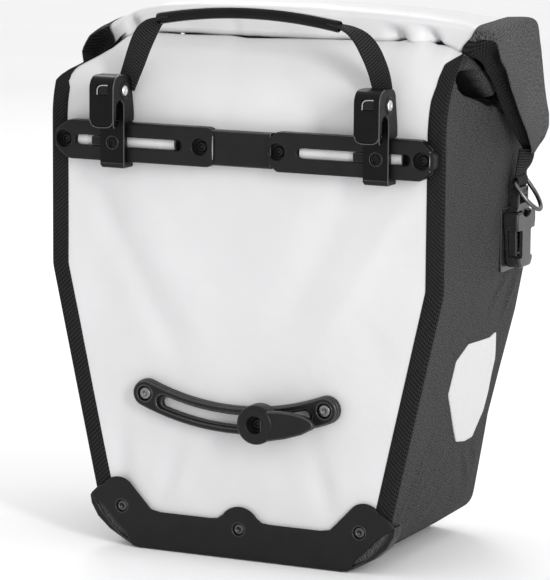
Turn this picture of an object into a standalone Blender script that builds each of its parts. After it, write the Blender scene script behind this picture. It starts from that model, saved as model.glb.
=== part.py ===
"""Roll-top pannier bag with two top hooks, an adjustable lower hook and side buckles.

Frame: +X across the bag, -Y towards the bicycle rack, +Z up.  The origin is on the
ground, at the middle of the bag's base.  All numbers below are millimetres; "depth"
is the distance behind the outer face of the back panel, which is the rack-side face.
"""
import math

import bmesh
import bpy
from mathutils import Matrix, Vector

MM = 0.001
GAP = 0.3

# Bag shell
DEPTH = 165.0
BACK_Y = -DEPTH / 2.0
WALL = 2.5
HALF_TOP = 160.0
HALF_BASE = 118.0
HALF_FLAT = 85.0
CORNER_Z = 22.0
TAPER_Z = 211.0
SHOULDER_Z = 357.0
SLOPE_RUN = 45.0
RIDGE_Z = 384.0
BASE_THICK = 5.0
STRIP_WIDTH = 14.0
STRIP_THICK = 1.2
STRIP_END_Z = 34.0

# Rolled closure
ROLL_HALF = (38.0, 13.0)
ROLL_Z = 398.2
ROLL_TURNS = 2.0
ROLL_PITCH = 4.2
SHEET = 2.4
ROLL_FLATNESS = 0.7
EAR_X = (HALF_TOP + GAP, 181.0)
EAR_BOTTOM_Z = 303.0

# Hook rail
RAIL_X = (-151.0, 156.0)
RAIL_Z = 308.4
RAIL_HALF = 14.6
RAIL_MIDDLE_HALF = 13.0
RAIL_BACK = -(STRIP_THICK + 2 * GAP)
RAIL_FRONT = RAIL_BACK - 10.0
RAIL_SLOTS = ((-134.0, -45.0), (48.0, 137.0))
RAIL_SCREWS = (-143.5, -30.5, 32.0, 145.5)
SLOT_HALF = 3.8

# Top hooks
HOOK_X = {"left": -99.5, "right": 113.0}
HOOK_HALF = 10.0
HOOK_TOP_Z = 359.0
JAW_FRONT = -34.0
JAW_THICK = 4.0
ARM_FRONT = -17.0
JAW_BOTTOM_Z = 321.0
THROAT_Z = 334.5
PIVOT = (-16.6, 347.5)
RIVET_RADIUS = 3.0
LATCH_HALF = 4.5

# Lower hook and its curved rail
ARC_CENTRE = (-3.0, 306.0)
ARC_RADIUS = 200.0
ARC_HALF_WIDTH = 10.5
ARC_END = math.radians(21.6)
ARC_SLOT_END = math.radians(16.5)
ARC_BACK = -0.4
ARC_FRONT = -8.5
CARRIAGE_ANGLE = math.radians(7.0)
FINGER_BACK = -18.0
FINGER_FRONT = -24.0
DISC_RADIUS = 14.8

# Handle
GRIP_DEPTH = -3.75
GRIP_X = (-68.0, 78.0)
GRIP_END_Z = 400.5
GRIP_RISE = 7.0
GRIP_RADIUS = 4.7

# Side buckles
BUCKLE_DEPTH = 126.0
SOCKET_Z = (216.0, 258.0)
SOCKET_X = (162.3, 174.3)
CLIP_TOP_Z = 276.0
RING_HINGE = (168.3, 280.5)
RING_REACH = 24.0
RING_WIRE = 1.5
RING_TILT = math.radians(38.0)

# Bottom protector
PROTECTOR_FRONT = -4.6
PROTECTOR_UNDER = 31.0
FLANGE = 2.6
WRAP_DEPTH = 9.0
WRAP_Z = 12.0
PROTECTOR_SCREWS = ((-98.0, 31.0), (0.0, 23.0), (98.0, 31.0))

MATERIALS = {
    "white_tarp": ((0.86, 0.86, 0.86), 0.42, 0.0),
    "black_cloth": ((0.035, 0.035, 0.037), 0.85, 0.0),
    "black_plastic": ((0.022, 0.022, 0.023), 0.42, 0.0),
    "webbing": ((0.018, 0.018, 0.019), 0.8, 0.0),
    "board": ((0.05, 0.05, 0.055), 0.6, 0.0),
    "reflector": ((0.55, 0.56, 0.57), 0.3, 0.0),
    "steel": ((0.75, 0.75, 0.76), 0.25, 1.0),
    "dark_steel": ((0.16, 0.16, 0.17), 0.35, 1.0),
}


def clear_scene():
    for obj in list(bpy.data.objects):
        bpy.data.objects.remove(obj, do_unlink=True)


def make_collection(name):
    collection = bpy.data.collections.new(name)
    bpy.context.scene.collection.children.link(collection)
    return collection


def make_material(name):
    colour, roughness, metallic = MATERIALS[name]
    material = bpy.data.materials.new(name)
    material.use_nodes = True
    shader = material.node_tree.nodes["Principled BSDF"]
    shader.inputs["Base Color"].default_value = (*colour, 1.0)
    shader.inputs["Roughness"].default_value = roughness
    shader.inputs["Metallic"].default_value = metallic
    material.diffuse_color = (*colour, 1.0)
    return material


clear_scene()
PARTS = make_collection("pannier_bag")
CUTTERS = make_collection("cutters")
MATERIAL = {name: make_material(name) for name in MATERIALS}


def place(point):
    """A point given in millimetres with its depth, as metres in the bag's frame."""
    return Vector((point[0], point[1] + BACK_Y, point[2])) * MM


def link(name, mesh, material, collection=PARTS):
    obj = bpy.data.objects.new(name, mesh)
    collection.objects.link(obj)
    if material:
        obj.data.materials.append(MATERIAL[material])
    return obj


def finish(name, bm, material, origin, collection=PARTS):
    """Turn a bmesh in millimetres into an object whose origin is at origin."""
    start = Vector(origin)
    for vert in bm.verts:
        vert.co = (vert.co - start) * MM
    bmesh.ops.remove_doubles(bm, verts=bm.verts, dist=0.00001)
    bmesh.ops.recalc_face_normals(bm, faces=bm.faces)
    mesh = bpy.data.meshes.new(name)
    bm.to_mesh(mesh)
    bm.free()
    mesh.shade_smooth()
    mesh.set_sharp_from_angle(angle=math.radians(30))
    obj = link(name, mesh, material, collection)
    obj.location = place(origin)
    return obj


def cutter(bm):
    """A solid that is only used to cut others."""
    obj = finish("cutter", bm, None, (0, 0, 0), CUTTERS)
    obj.hide_render = True
    obj.display_type = "WIRE"
    return obj


def cut(obj, tools):
    for tool in tools:
        boolean = obj.modifiers.new("cut", "BOOLEAN")
        boolean.operation = "DIFFERENCE"
        boolean.object = tool
    return obj


def box_mesh(low, high):
    bm = bmesh.new()
    bmesh.ops.create_cube(bm, size=1.0)
    size = [b - a for a, b in zip(low, high)]
    middle = [(a + b) / 2 for a, b in zip(low, high)]
    bmesh.ops.scale(bm, vec=size, verts=bm.verts)
    bmesh.ops.translate(bm, vec=middle, verts=bm.verts)
    return bm


def rod_mesh(centre, radius, low, high, axis="Y", sides=24):
    """A cylinder along Y or X from low to high; centre gives the two other coordinates."""
    bm = bmesh.new()
    bmesh.ops.create_cone(bm, cap_ends=True, segments=sides, radius1=radius,
                          radius2=radius, depth=high - low)
    turn = Matrix.Rotation(math.radians(90), 3, "X" if axis == "Y" else "Y")
    bmesh.ops.rotate(bm, matrix=turn, verts=bm.verts)
    middle = (low + high) / 2
    if axis == "Y":
        offset = (centre[0], middle, centre[1])
    else:
        offset = (middle, centre[0], centre[1])
    bmesh.ops.translate(bm, vec=offset, verts=bm.verts)
    return bm


def circle(centre, radius, sides=24):
    steps = [2 * math.pi * k / sides for k in range(sides)]
    return [(centre[0] + radius * math.cos(a), centre[1] + radius * math.sin(a)) for a in steps]


def arc(centre, radius, start, end, count):
    """Points of an arc; the angles are in degrees."""
    steps = [math.radians(start + (end - start) * k / count) for k in range(count + 1)]
    return [(centre[0] + radius * math.cos(a), centre[1] + radius * math.sin(a)) for a in steps]


def slot(x_low, x_high, z, half):
    return (arc((x_high - half, z), half, -90, 90, 8)
            + arc((x_low + half, z), half, 90, 270, 8))


def rounded(points, radius, count=4):
    """An outline with each corner replaced by an arc."""
    result = []
    total = len(points)
    for k, corner in enumerate(points):
        here = Vector(corner)
        back = (Vector(points[k - 1]) - here)
        ahead = (Vector(points[(k + 1) % total]) - here)
        turn = back.angle(ahead)
        reach = min(radius / math.tan(turn / 2), 0.48 * back.length, 0.48 * ahead.length)
        if turn > math.radians(176):
            result.append(corner)
            continue
        start = here + back.normalized() * reach
        end = here + ahead.normalized() * reach
        for step in range(count + 1):
            t = step / count
            point = start * (1 - t) ** 2 + here * 2 * t * (1 - t) + end * t ** 2
            result.append((point.x, point.y))
    return result


def offset_line(points, distance):
    """An open line moved sideways, to its left, by distance."""
    moved = []
    for k, point in enumerate(points):
        before = Vector(points[max(k - 1, 0)])
        after = Vector(points[min(k + 1, len(points) - 1)])
        here = Vector(point)
        first = (here - before) if k else (after - here)
        second = (after - here) if k < len(points) - 1 else first
        normal_1 = Vector((-first.y, first.x)).normalized()
        normal_2 = Vector((-second.y, second.x)).normalized()
        middle = (normal_1 + normal_2).normalized()
        reach = distance / max(middle.dot(normal_1), 0.4)
        moved.append((point[0] + middle.x * reach, point[1] + middle.y * reach))
    return moved


def plate_mesh(outlines, plane, low, high):
    """A flat outline, with holes if there are more outlines, given a thickness.

    Plane XZ: outline points are (x, z) and the thickness runs along the depth.
    Plane YZ: outline points are (depth, z) and the thickness runs along X.
    """
    curve = bpy.data.curves.new("outline", "CURVE")
    curve.dimensions = "2D"
    curve.fill_mode = "BOTH"
    curve.extrude = (high - low) / 2
    for points in outlines:
        spline = curve.splines.new("POLY")
        spline.points.add(len(points) - 1)
        spline.use_cyclic_u = True
        for target, point in zip(spline.points, points):
            target.co = (point[0], point[1], 0.0, 1.0)
    guide = bpy.data.objects.new("outline", curve)
    PARTS.objects.link(guide)
    middle = (low + high) / 2
    if plane == "XZ":
        turn = Matrix.Rotation(math.radians(90), 4, "X")
        guide.matrix_world = Matrix.Translation((0, middle, 0)) @ turn
    else:
        turn = Matrix.Rotation(math.radians(90), 4, "Z") @ Matrix.Rotation(math.radians(90), 4, "X")
        guide.matrix_world = Matrix.Translation((middle, 0, 0)) @ turn
    bm = mesh_of(guide)
    bpy.data.objects.remove(guide)
    return bm


def mesh_of(guide):
    """The closed mesh of a curve object, in world space."""
    bpy.context.view_layer.update()
    graph = bpy.context.evaluated_depsgraph_get()
    mesh = bpy.data.meshes.new_from_object(guide.evaluated_get(graph))
    bm = bmesh.new()
    bm.from_mesh(mesh)
    bm.transform(guide.matrix_world)
    bmesh.ops.remove_doubles(bm, verts=bm.verts, dist=0.01)
    bpy.data.meshes.remove(mesh)
    return bm


def plate(name, outlines, plane, low, high, material, origin=(0, 0, 0)):
    return finish(name, plate_mesh(outlines, plane, low, high), material, origin)


def wire_mesh(points, radius, cyclic=False, resolution=2):
    """A round wire along points that are (x, depth, z)."""
    curve = bpy.data.curves.new("wire", "CURVE")
    curve.dimensions = "3D"
    curve.bevel_depth = radius
    curve.bevel_resolution = resolution
    curve.use_fill_caps = True
    spline = curve.splines.new("POLY")
    spline.points.add(len(points) - 1)
    spline.use_cyclic_u = cyclic
    for target, point in zip(spline.points, points):
        target.co = (*point, 1.0)
    guide = bpy.data.objects.new("wire", curve)
    PARTS.objects.link(guide)
    bm = mesh_of(guide)
    bpy.data.objects.remove(guide)
    return bm


def mirror_x(points, sign):
    """Points on the +X side, or their mirror image on the -X side."""
    return [(sign * point[0], point[1]) for point in points]


def span(sign, low, high):
    """A range on the +X side, or its mirror image, in rising order."""
    return (low, high) if sign > 0 else (-high, -low)


def shell_profile():
    """The bag's right-hand outer edge, from the flat base up to the shoulder."""
    return [(HALF_FLAT, 0.0), (HALF_BASE, CORNER_Z), (HALF_TOP, TAPER_Z), (HALF_TOP, SHOULDER_Z)]


def crossing(first, second):
    """Where two straight lines, each given by two points, meet."""
    (ax, az), (bx, bz) = first
    (cx, cz), (dx, dz) = second
    run = (bx - ax) * (dz - cz) - (bz - az) * (dx - cx)
    t = ((cx - ax) * (dz - cz) - (cz - az) * (dx - cx)) / run
    return (ax + t * (bx - ax), az + t * (bz - az))


def base_line(rise):
    """The base's raised corners and flat middle, from -X to +X, moved up by rise."""
    low = [(-HALF_BASE, CORNER_Z), (-HALF_FLAT, 0.0), (HALF_FLAT, 0.0), (HALF_BASE, CORNER_Z)]
    return offset_line(low, rise)


def panel_outline(inset, rise, top_z):
    """The bag's front view, with its sides moved in by inset and its base by rise."""
    sides = offset_line(shell_profile(), inset)
    floor = base_line(rise)[2:]
    corner = crossing(floor, sides[1:3])
    edge = [floor[0], corner, sides[2], (sides[-1][0], top_z)]
    return edge + [(-x, z) for x, z in reversed(edge)]


def screw_holes(radius):
    points = [(x, RAIL_Z) for x in RAIL_SCREWS]
    points += arc_screw_points()
    points += PROTECTOR_SCREWS
    return [circle(point, radius, 16) for point in points]


def arc_point(angle, radius=ARC_RADIUS):
    """A point of the curved rail; the angle grows towards +X."""
    return (ARC_CENTRE[0] + radius * math.sin(angle), ARC_CENTRE[1] - radius * math.cos(angle))


def arc_screw_points():
    return [arc_point(-ARC_END), arc_point(ARC_END)]


def build_shell():
    back = panel_outline(WALL + GAP, BASE_THICK + GAP, SHOULDER_Z)
    plate("back_panel", [back] + screw_holes(2.6), "XZ", 0, WALL, "white_tarp")
    plate("front_panel", [back], "XZ", DEPTH - WALL, DEPTH, "white_tarp")
    for side, sign in (("left", -1), ("right", 1)):
        build_side(side, sign)
    build_base()
    build_shoulder("back_shoulder", 0.0, 1)
    build_shoulder("front_shoulder", DEPTH, -1)


def build_side(side, sign):
    """A side wall that bends at the taper and rises to a gable under the roll."""
    outer = shell_profile()[1:]
    outer[0] = crossing(base_line(FLANGE + GAP)[2:], outer[:2])
    outer[-1] = (HALF_TOP, RIDGE_Z + 10)
    inner = offset_line(outer, WALL)
    outline = mirror_x(outer + inner[::-1], sign)
    wall = plate("side_panel_" + side, [outline], "XZ", 0, DEPTH, "black_cloth")
    low_z, high_z = SHOULDER_Z - GAP, RIDGE_Z - GAP
    roof = [(-10, low_z - 6), (0, low_z), (SLOPE_RUN, high_z), (DEPTH - SLOPE_RUN, high_z),
            (DEPTH, low_z), (DEPTH + 10, low_z - 6), (DEPTH + 10, high_z + 40), (-10, high_z + 40)]
    reach = HALF_TOP + 20
    cut(wall, [cutter(plate_mesh([roof], "YZ", -reach, reach))])


def build_base():
    """The base, with raised corners and a rebate over the protector's flange."""
    wall = offset_line(shell_profile(), WALL + GAP)[1:3]
    low = base_line(0.0)[1:3] + [crossing(base_line(0.0)[2:], wall)]
    high = base_line(BASE_THICK)[1:3] + [crossing(base_line(BASE_THICK)[2:], wall)]
    low.insert(0, (-low[-1][0], low[-1][1]))
    high.insert(0, (-high[-1][0], high[-1][1]))
    base = plate("bottom_panel", [low + high[::-1]], "XZ", 0, DEPTH, "white_tarp")
    rebate = base_line(FLANGE + GAP) + base_line(-20.0)[::-1]
    cut(base, [cutter(plate_mesh([rebate], "XZ", -5, PROTECTOR_UNDER + GAP))])


def build_shoulder(name, edge, sign):
    """The sloping panel between the shoulder and the roll."""
    low = [(0, SHOULDER_Z + GAP), (SLOPE_RUN, RIDGE_Z + GAP)]
    high = [(x, z + WALL) for x, z in low]
    outline = [(edge + sign * x, z) for x, z in low + high[::-1]]
    plate(name, [outline], "YZ", -HALF_TOP, HALF_TOP, "white_tarp")


def spiral(offset):
    """The rolled sheet in side view; offset moves it outwards from its middle line."""
    points = []
    count = int(24 * ROLL_TURNS)
    for k in range(count + 1):
        turn = ROLL_TURNS * k / count
        angle = 2 * math.pi * turn - math.pi / 2
        wide = ROLL_HALF[0] - SHEET / 2 - ROLL_PITCH * turn + offset
        tall = ROLL_HALF[1] - SHEET / 2 - ROLL_PITCH * turn + offset
        across = math.copysign(abs(math.cos(angle)) ** ROLL_FLATNESS, math.cos(angle))
        points.append((DEPTH / 2 + wide * across, ROLL_Z + tall * math.sin(angle)))
    return points


def build_roll():
    outline = spiral(SHEET / 2) + spiral(-SHEET / 2)[::-1]
    plate("roll_top", [outline], "YZ", -HALF_TOP, HALF_TOP, "white_tarp")
    bar = box_mesh((-148, DEPTH / 2 - 12, ROLL_Z - 1.9), (148, DEPTH / 2 + 12, ROLL_Z - 0.1))
    finish("closure_stiffener", bar, "board", (0, 0, 0))
    build_ears()


def build_ears():
    """The roll's ends, folded down over the sides and leaning towards the front."""
    outline = rounded([(38, 386), (42, 399), (50, 403), (112, 403), (119, 398), (128, 373),
                       (139, 351), (150, 322), (150, 312), (139, EAR_BOTTOM_Z),
                       (110, EAR_BOTTOM_Z), (98, 318), (85, 334), (72, 350), (52, 371)], 3.0, 2)
    for side, sign in (("left", -1), ("right", 1)):
        plate("ear_" + side, [outline], "YZ", *span(sign, *EAR_X), "black_cloth")


def build_strips():
    """The side cloth's welded borders along the back and the front."""
    outer = shell_profile()[1:]
    outer[0] = crossing([(0.0, STRIP_END_Z), (1.0, STRIP_END_Z)], outer[:2])
    outer[-1] = (HALF_TOP, SHOULDER_Z - 2)
    inner = offset_line(outer, STRIP_WIDTH)
    for side, sign in (("left", -1), ("right", 1)):
        outline = mirror_x(outer + inner[::-1], sign)
        rail_x = RAIL_SCREWS[0] if sign < 0 else RAIL_SCREWS[-1]
        hole = box_mesh((rail_x - 6, -5, RAIL_Z - 6), (rail_x + 6, 0, RAIL_Z + 6))
        strip = plate("back_strip_" + side, [outline], "XZ", -GAP - STRIP_THICK, -GAP, "black_cloth")
        cut(strip, [cutter(hole)])
        plate("front_strip_" + side, [outline], "XZ", DEPTH + GAP, DEPTH + GAP + STRIP_THICK,
              "black_cloth")


def build_inside():
    board = panel_outline(14, 13, SHOULDER_Z - 9)
    low = WALL + GAP
    plate("back_stiffener", [board] + screw_holes(2.6), "XZ", low, low + 2.2, "board")
    low = low + 2.2 + GAP
    holes = [circle((x, RAIL_Z), 2.6, 16) for x in RAIL_SCREWS]
    strip = rounded([(-140, RAIL_Z - 9), (142, RAIL_Z - 9), (142, RAIL_Z + 9), (-140, RAIL_Z + 9)],
                    4)
    strip_ends = [(x * 1.06, z) for x, z in strip]
    plate("rail_backing_strip", [strip_ends] + holes, "XZ", low, low + 2.0, "board")


def rail_outline():
    left, right = RAIL_X
    top, bottom = RAIL_Z + RAIL_HALF, RAIL_Z - RAIL_HALF
    middle = RAIL_Z + RAIL_MIDDLE_HALF
    inner = (-20.0, 32.0)
    corner = 7.0
    return [(left + corner, bottom), (right - corner, bottom), (right, bottom + corner),
            (right, top - corner), (right - corner, top), (inner[1] + 2, top),
            (inner[1], middle), (inner[0], middle), (inner[0] - 2, top),
            (left + corner, top), (left, top - corner), (left, bottom + corner)]


def build_rail():
    holes = [circle((x, RAIL_Z), 2.6, 16) for x in RAIL_SCREWS]
    rail = plate("hook_rail", [rail_outline()] + holes, "XZ", RAIL_FRONT, RAIL_BACK,
                 "black_plastic")
    tools = []
    for low, high in RAIL_SLOTS:
        opening = slot(low, high, RAIL_Z, SLOT_HALF)
        tools.append(cutter(plate_mesh([opening], "XZ", RAIL_FRONT - 2, RAIL_BACK + 2)))
    for x in RAIL_SCREWS:
        tools.append(cutter(rod_mesh((x, RAIL_Z), 5.7, RAIL_FRONT - 2, RAIL_FRONT + 5)))
    cut(rail, tools)
    for number, x in enumerate(RAIL_SCREWS, 1):
        build_screw("rail_screw_%d" % number, x, RAIL_Z, RAIL_FRONT + 1.5, RAIL_FRONT + 5 - GAP, 6.0)


def build_screw(name, x, z, head, seat, end, radius=4.3):
    """A pan-head screw along the depth: a turned profile from its head to its tip."""
    profile = [(0.0, head), (radius * 0.75, head), (radius, head + 1.0), (radius, seat),
               (2.2, seat), (2.2, end - 0.8), (1.4, end), (0.0, end)]
    mesh = bpy.data.meshes.new(name)
    points = [(r * MM, 0.0, -(depth - head) * MM) for r, depth in profile]
    mesh.from_pydata(points, [(k, k + 1) for k in range(len(points) - 1)], [])
    obj = link(name, mesh, "black_plastic")
    obj.location = place((x, head, z))
    obj.rotation_euler = (math.radians(90), 0, 0)
    turn = obj.modifiers.new("turn", "SCREW")
    turn.steps = 20
    turn.render_steps = 20
    turn.use_merge_vertices = True
    turn.merge_threshold = 0.00001
    turn.use_smooth_shade = False
    return obj


def hook_outline():
    """The top hook in side view: jaw, throat, arm and the clamp around the rail."""
    jaw_back = JAW_FRONT + JAW_THICK
    radius = (ARM_FRONT - jaw_back) / 2
    crown = arc((jaw_back + radius, THROAT_Z), radius, 180, 0, 8)
    rail_top, rail_bottom = RAIL_Z + RAIL_HALF + GAP, RAIL_Z - RAIL_HALF - GAP
    clamp_back = RAIL_FRONT - GAP
    lip_back = RAIL_BACK - 2.0
    outer_top = arc((-24.5, HOOK_TOP_Z - 9.5), 9.5, 180, 90, 6)
    back_top = arc((-13.0, HOOK_TOP_Z - 8.0), 8.0, 90, 0, 5)
    points = [(JAW_FRONT + 1, JAW_BOTTOM_Z), (JAW_FRONT, JAW_BOTTOM_Z + 4)]
    points += outer_top + back_top
    points += [(-1.6, 331.0), (-1.6, rail_top + 1.4), (lip_back, rail_top), (clamp_back, rail_top),
               (clamp_back, rail_bottom), (lip_back, rail_bottom), (lip_back, rail_bottom - 2.8),
               (ARM_FRONT + 2, rail_bottom - 2.8), (ARM_FRONT, rail_bottom - 0.8)]
    points += crown[::-1]
    points += [(jaw_back, JAW_BOTTOM_Z + 2), (jaw_back - 1, JAW_BOTTOM_Z)]
    return points


def build_hook(side):
    x = HOOK_X[side]
    origin = (x, ARM_FRONT, RAIL_Z)
    hook = plate("hook_" + side, [hook_outline()], "YZ", x - HOOK_HALF, x + HOOK_HALF,
                 "black_plastic", origin)
    pocket_half = LATCH_HALF + GAP
    pocket = box_mesh((x - pocket_half, -23.5, 320.4), (x + pocket_half, 5, HOOK_TOP_Z - 2.8))
    window = box_mesh((x - 4.0, -40, 345.0), (x + 5.0, -20.0, 352.5))
    bore = rod_mesh(PIVOT, RIVET_RADIUS + GAP, x - 20, x + 20, "X")
    recess = rod_mesh((x, RAIL_Z), 4.4, ARM_FRONT - 2, ARM_FRONT + 2.6)
    shank = rod_mesh((x, RAIL_Z), 2.6, ARM_FRONT - 2, 0)
    corner = [(x - 14, 317), (x - 14, 330), (x - 10, 325), (x - 8, 322.6), (x - 5.5, 321),
              (x - 5.5, 317)]
    tools = [pocket, window, bore, recess, shank]
    for sign in (-1, 1):
        trim = [(x + sign * (px - x), z) for px, z in corner]
        tools.append(plate_mesh([trim], "XZ", JAW_FRONT - 3, JAW_FRONT + JAW_THICK + 3))
    cut(hook, [cutter(tool) for tool in tools])
    build_screw("hook_screw_" + side, x, RAIL_Z, ARM_FRONT + 0.4, ARM_FRONT + 2.6 - GAP,
                RAIL_BACK - 0.6, 4.0)
    build_rivet(side, x)
    build_latch(side, x)


def build_rivet(side, x):
    """The latch's pivot pin, with a flat head on each side of the hook."""
    half = HOOK_HALF + GAP
    profile = [(0.0, -half - 0.8), (3.7, -half - 0.8), (3.9, -half), (RIVET_RADIUS, -half),
               (RIVET_RADIUS, half), (3.9, half), (3.7, half + 0.8), (0.0, half + 0.8)]
    name = "hook_rivet_" + side
    mesh = bpy.data.meshes.new(name)
    points = [(r * MM, 0.0, -z * MM) for r, z in profile]
    mesh.from_pydata(points, [(k, k + 1) for k in range(len(points) - 1)], [])
    rivet = link(name, mesh, "steel")
    rivet.location = place((x, *PIVOT))
    rivet.rotation_euler = (0, math.radians(90), 0)
    turn = rivet.modifiers.new("turn", "SCREW")
    turn.steps = 24
    turn.render_steps = 24
    turn.use_merge_vertices = True
    turn.merge_threshold = 0.00001
    turn.use_smooth_shade = False


def build_latch(side, x):
    """The lever that closes the throat from below; its rear arm hangs on the handle."""
    nose = [(13.8, 0.5), (13.8, -3.6), (8.0, -6.5), (5.0, -12.0), (4.2, -17.0), (0.5, -21.8),
            (-5.0, -23.4), (-8.0, -23.4), (-12.0, -22.9), (-12.2, -20.6), (-6.0, -20.2),
            (-2.2, -17.6), (-1.4, -12.0), (-5.2, -4.5), (-5.8, 0.0), (-4.0, 4.0), (0.0, 5.8),
            (5.0, 4.6)]
    outline = [(PIVOT[0] + y, PIVOT[1] + z) for y, z in nose]
    bore = circle(PIVOT, RIVET_RADIUS + GAP, 24)
    plate("latch_" + side, [outline, bore], "YZ", x - LATCH_HALF, x + LATCH_HALF,
          "black_plastic", (x, *PIVOT))


def build_handle():
    count = 14
    points = []
    for k in range(count + 1):
        t = k / count
        x = GRIP_X[0] + (GRIP_X[1] - GRIP_X[0]) * t
        z = GRIP_END_Z + GRIP_RISE * (1 - (2 * t - 1) ** 2)
        points.append((x, GRIP_DEPTH, z))
    finish("handle_grip", wire_mesh(points, GRIP_RADIUS, resolution=4), "black_plastic",
           ((GRIP_X[0] + GRIP_X[1]) / 2, GRIP_DEPTH, GRIP_END_Z))
    routes = {"left": [(GRIP_X[0] - 1.4, GRIP_END_Z - 0.6), (-76, 396), (-84, 386), (-91, 370), (-96, 350.2)],
              "right": [(GRIP_X[1] + 1.4, GRIP_END_Z - 0.6), (89, 398), (99, 389), (108, 371), (112, 350.2)]}
    widths = (4.2, 4.4, 6.0, 7.4, 7.4)
    for side, route in routes.items():
        upper = sided(route, widths, 1)
        lower = sided(route, widths, -1)
        outline = upper + lower[::-1]
        plate("handle_strap_" + side, [outline], "XZ", GRIP_DEPTH - 0.8, GRIP_DEPTH + 0.8,
              "webbing", (route[0][0], GRIP_DEPTH, route[0][1]))


def sided(route, widths, sign):
    """One edge of a strap of varying half width along a route."""
    edge = []
    for k, point in enumerate(route):
        before = Vector(route[max(k - 1, 0)])
        after = Vector(route[min(k + 1, len(route) - 1)])
        along = (after - before).normalized()
        normal = Vector((-along.y, along.x)) * sign * widths[k]
        edge.append((point[0] + normal.x, point[1] + normal.y))
    return edge


def band(half_width, end, count, cap):
    """A curved band about the rail's arc; cap adds round ends."""
    outer = [arc_point(-end + 2 * end * k / count, ARC_RADIUS + half_width) for k in range(count + 1)]
    inner = [arc_point(end - 2 * end * k / count, ARC_RADIUS - half_width) for k in range(count + 1)]
    if not cap:
        return outer + inner
    tip = math.degrees(end)
    right = arc(arc_point(end), half_width, tip - 90, tip + 90, 8)[1:-1]
    left = arc(arc_point(-end), half_width, 90 - tip, 270 - tip, 8)[1:-1]
    return outer + right + inner + left


def build_lower_hook():
    screws = [circle(point, 2.6, 16) for point in arc_screw_points()]
    rail = plate("arc_rail", [band(ARC_HALF_WIDTH, ARC_END, 20, True),
                              band(SLOT_HALF, ARC_SLOT_END, 16, True)] + screws,
                 "XZ", ARC_FRONT, ARC_BACK, "black_plastic")
    cut(rail, [cutter(rod_mesh(point, 6.0, ARC_FRONT - 2, ARC_FRONT + 4)) for point in arc_screw_points()])
    for number, (x, z) in enumerate(arc_screw_points(), 1):
        build_screw("arc_screw_%d" % number, x, z, ARC_FRONT + 0.8, ARC_FRONT + 4 - GAP, 6.0)
    centre = arc_point(CARRIAGE_ANGLE)
    build_finger(centre)
    build_screw("lower_hook_screw", *centre, FINGER_FRONT + 2.5, FINGER_FRONT + 6 - GAP, -1.6, 5.0)
    build_nut(centre)


def build_finger(centre):
    """A round boss on the curved rail with a tapering finger that reaches sideways."""
    x, z = centre
    reach = 42.0
    disc = arc(centre, DISC_RADIUS, 60, 300, 20)
    tip = [(x + reach - 2, z - 1.0), (x + reach, z + 1.5), (x + reach, z + 6.5),
           (x + reach - 3, z + 9.0)]
    finger = plate("lower_hook_finger", [disc + tip, circle(centre, 2.6, 16)], "XZ",
                   FINGER_FRONT, ARC_FRONT - GAP, "black_plastic", (x, FINGER_FRONT, z))
    relief = box_mesh((x + DISC_RADIUS + 0.2, FINGER_BACK, z - 30), (x + 60, 0, z + 30))
    recess = rod_mesh(centre, 6.4, FINGER_FRONT - 2, FINGER_FRONT + 6)
    cut(finger, [cutter(relief), cutter(recess)])


def build_nut(centre):
    """The nut that slides in the curved rail's slot."""
    half = SLOT_HALF - 0.5
    block = [(-6, -half), (6, -half), (6, half), (-6, half)]
    turn = Matrix.Rotation(CARRIAGE_ANGLE, 2)
    outline = []
    for point in block:
        turned = turn @ Vector(point)
        outline.append((centre[0] + turned.x, centre[1] + turned.y))
    plate("lower_hook_nut", [outline, circle(centre, 2.6, 16)], "XZ", -7.8, -1.2, "dark_steel",
          (*ARC_CENTRE[:1], -7.8, ARC_CENTRE[1]))


def protector_outline():
    """Half of the bumper's front view, from the middle out to the right-hand knob."""
    knob = arc(PROTECTOR_SCREWS[1], 17.0, 90, 35, 5)
    end_knob = arc((101.5, 38.5), 14.5, 128, 30, 7)
    return knob + [(17.5, 29.0), (71.0, 29.0)] + end_knob + [(126.0, 36.0), (128.0, 32.0),
            (121.0, 22.0), (104.0, 6.0), (92.0, 0.6), (84.0, 0.0)]


def build_protector():
    half = protector_outline()
    outline = half + [(-x, z) for x, z in reversed(half)]
    holes = [circle(point, 2.6, 16) for point in PROTECTOR_SCREWS]
    block = plate("bottom_protector", [outline[:-1]] + holes, "XZ", PROTECTOR_FRONT,
                  PROTECTOR_UNDER, "black_plastic")
    floor = base_line(FLANGE)
    wall = offset_line(shell_profile(), -GAP)[1:3]
    corner = crossing(floor[2:], wall)
    top = (wall[1][0], wall[1][1])
    inside = floor[1:3] + [corner, top]
    inside = [(-top[0], top[1]), (-corner[0], corner[1])] + inside
    front = -GAP - STRIP_THICK - GAP
    tools = [plate_mesh([inside], "XZ", front, PROTECTOR_UNDER + 5),
             box_mesh((-200, WRAP_DEPTH, WRAP_Z), (200, PROTECTOR_UNDER + 5, 90))]
    tools += [rod_mesh(point, 5.6, PROTECTOR_FRONT - 2, PROTECTOR_FRONT + 1.4)
              for point in PROTECTOR_SCREWS]
    cut(block, [cutter(tool) for tool in tools])
    for number, (x, z) in enumerate(PROTECTOR_SCREWS, 1):
        build_screw("protector_screw_%d" % number, x, z, PROTECTOR_FRONT - 0.4,
                    PROTECTOR_FRONT + 1.4 - GAP, 7.0, 4.4)


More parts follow.
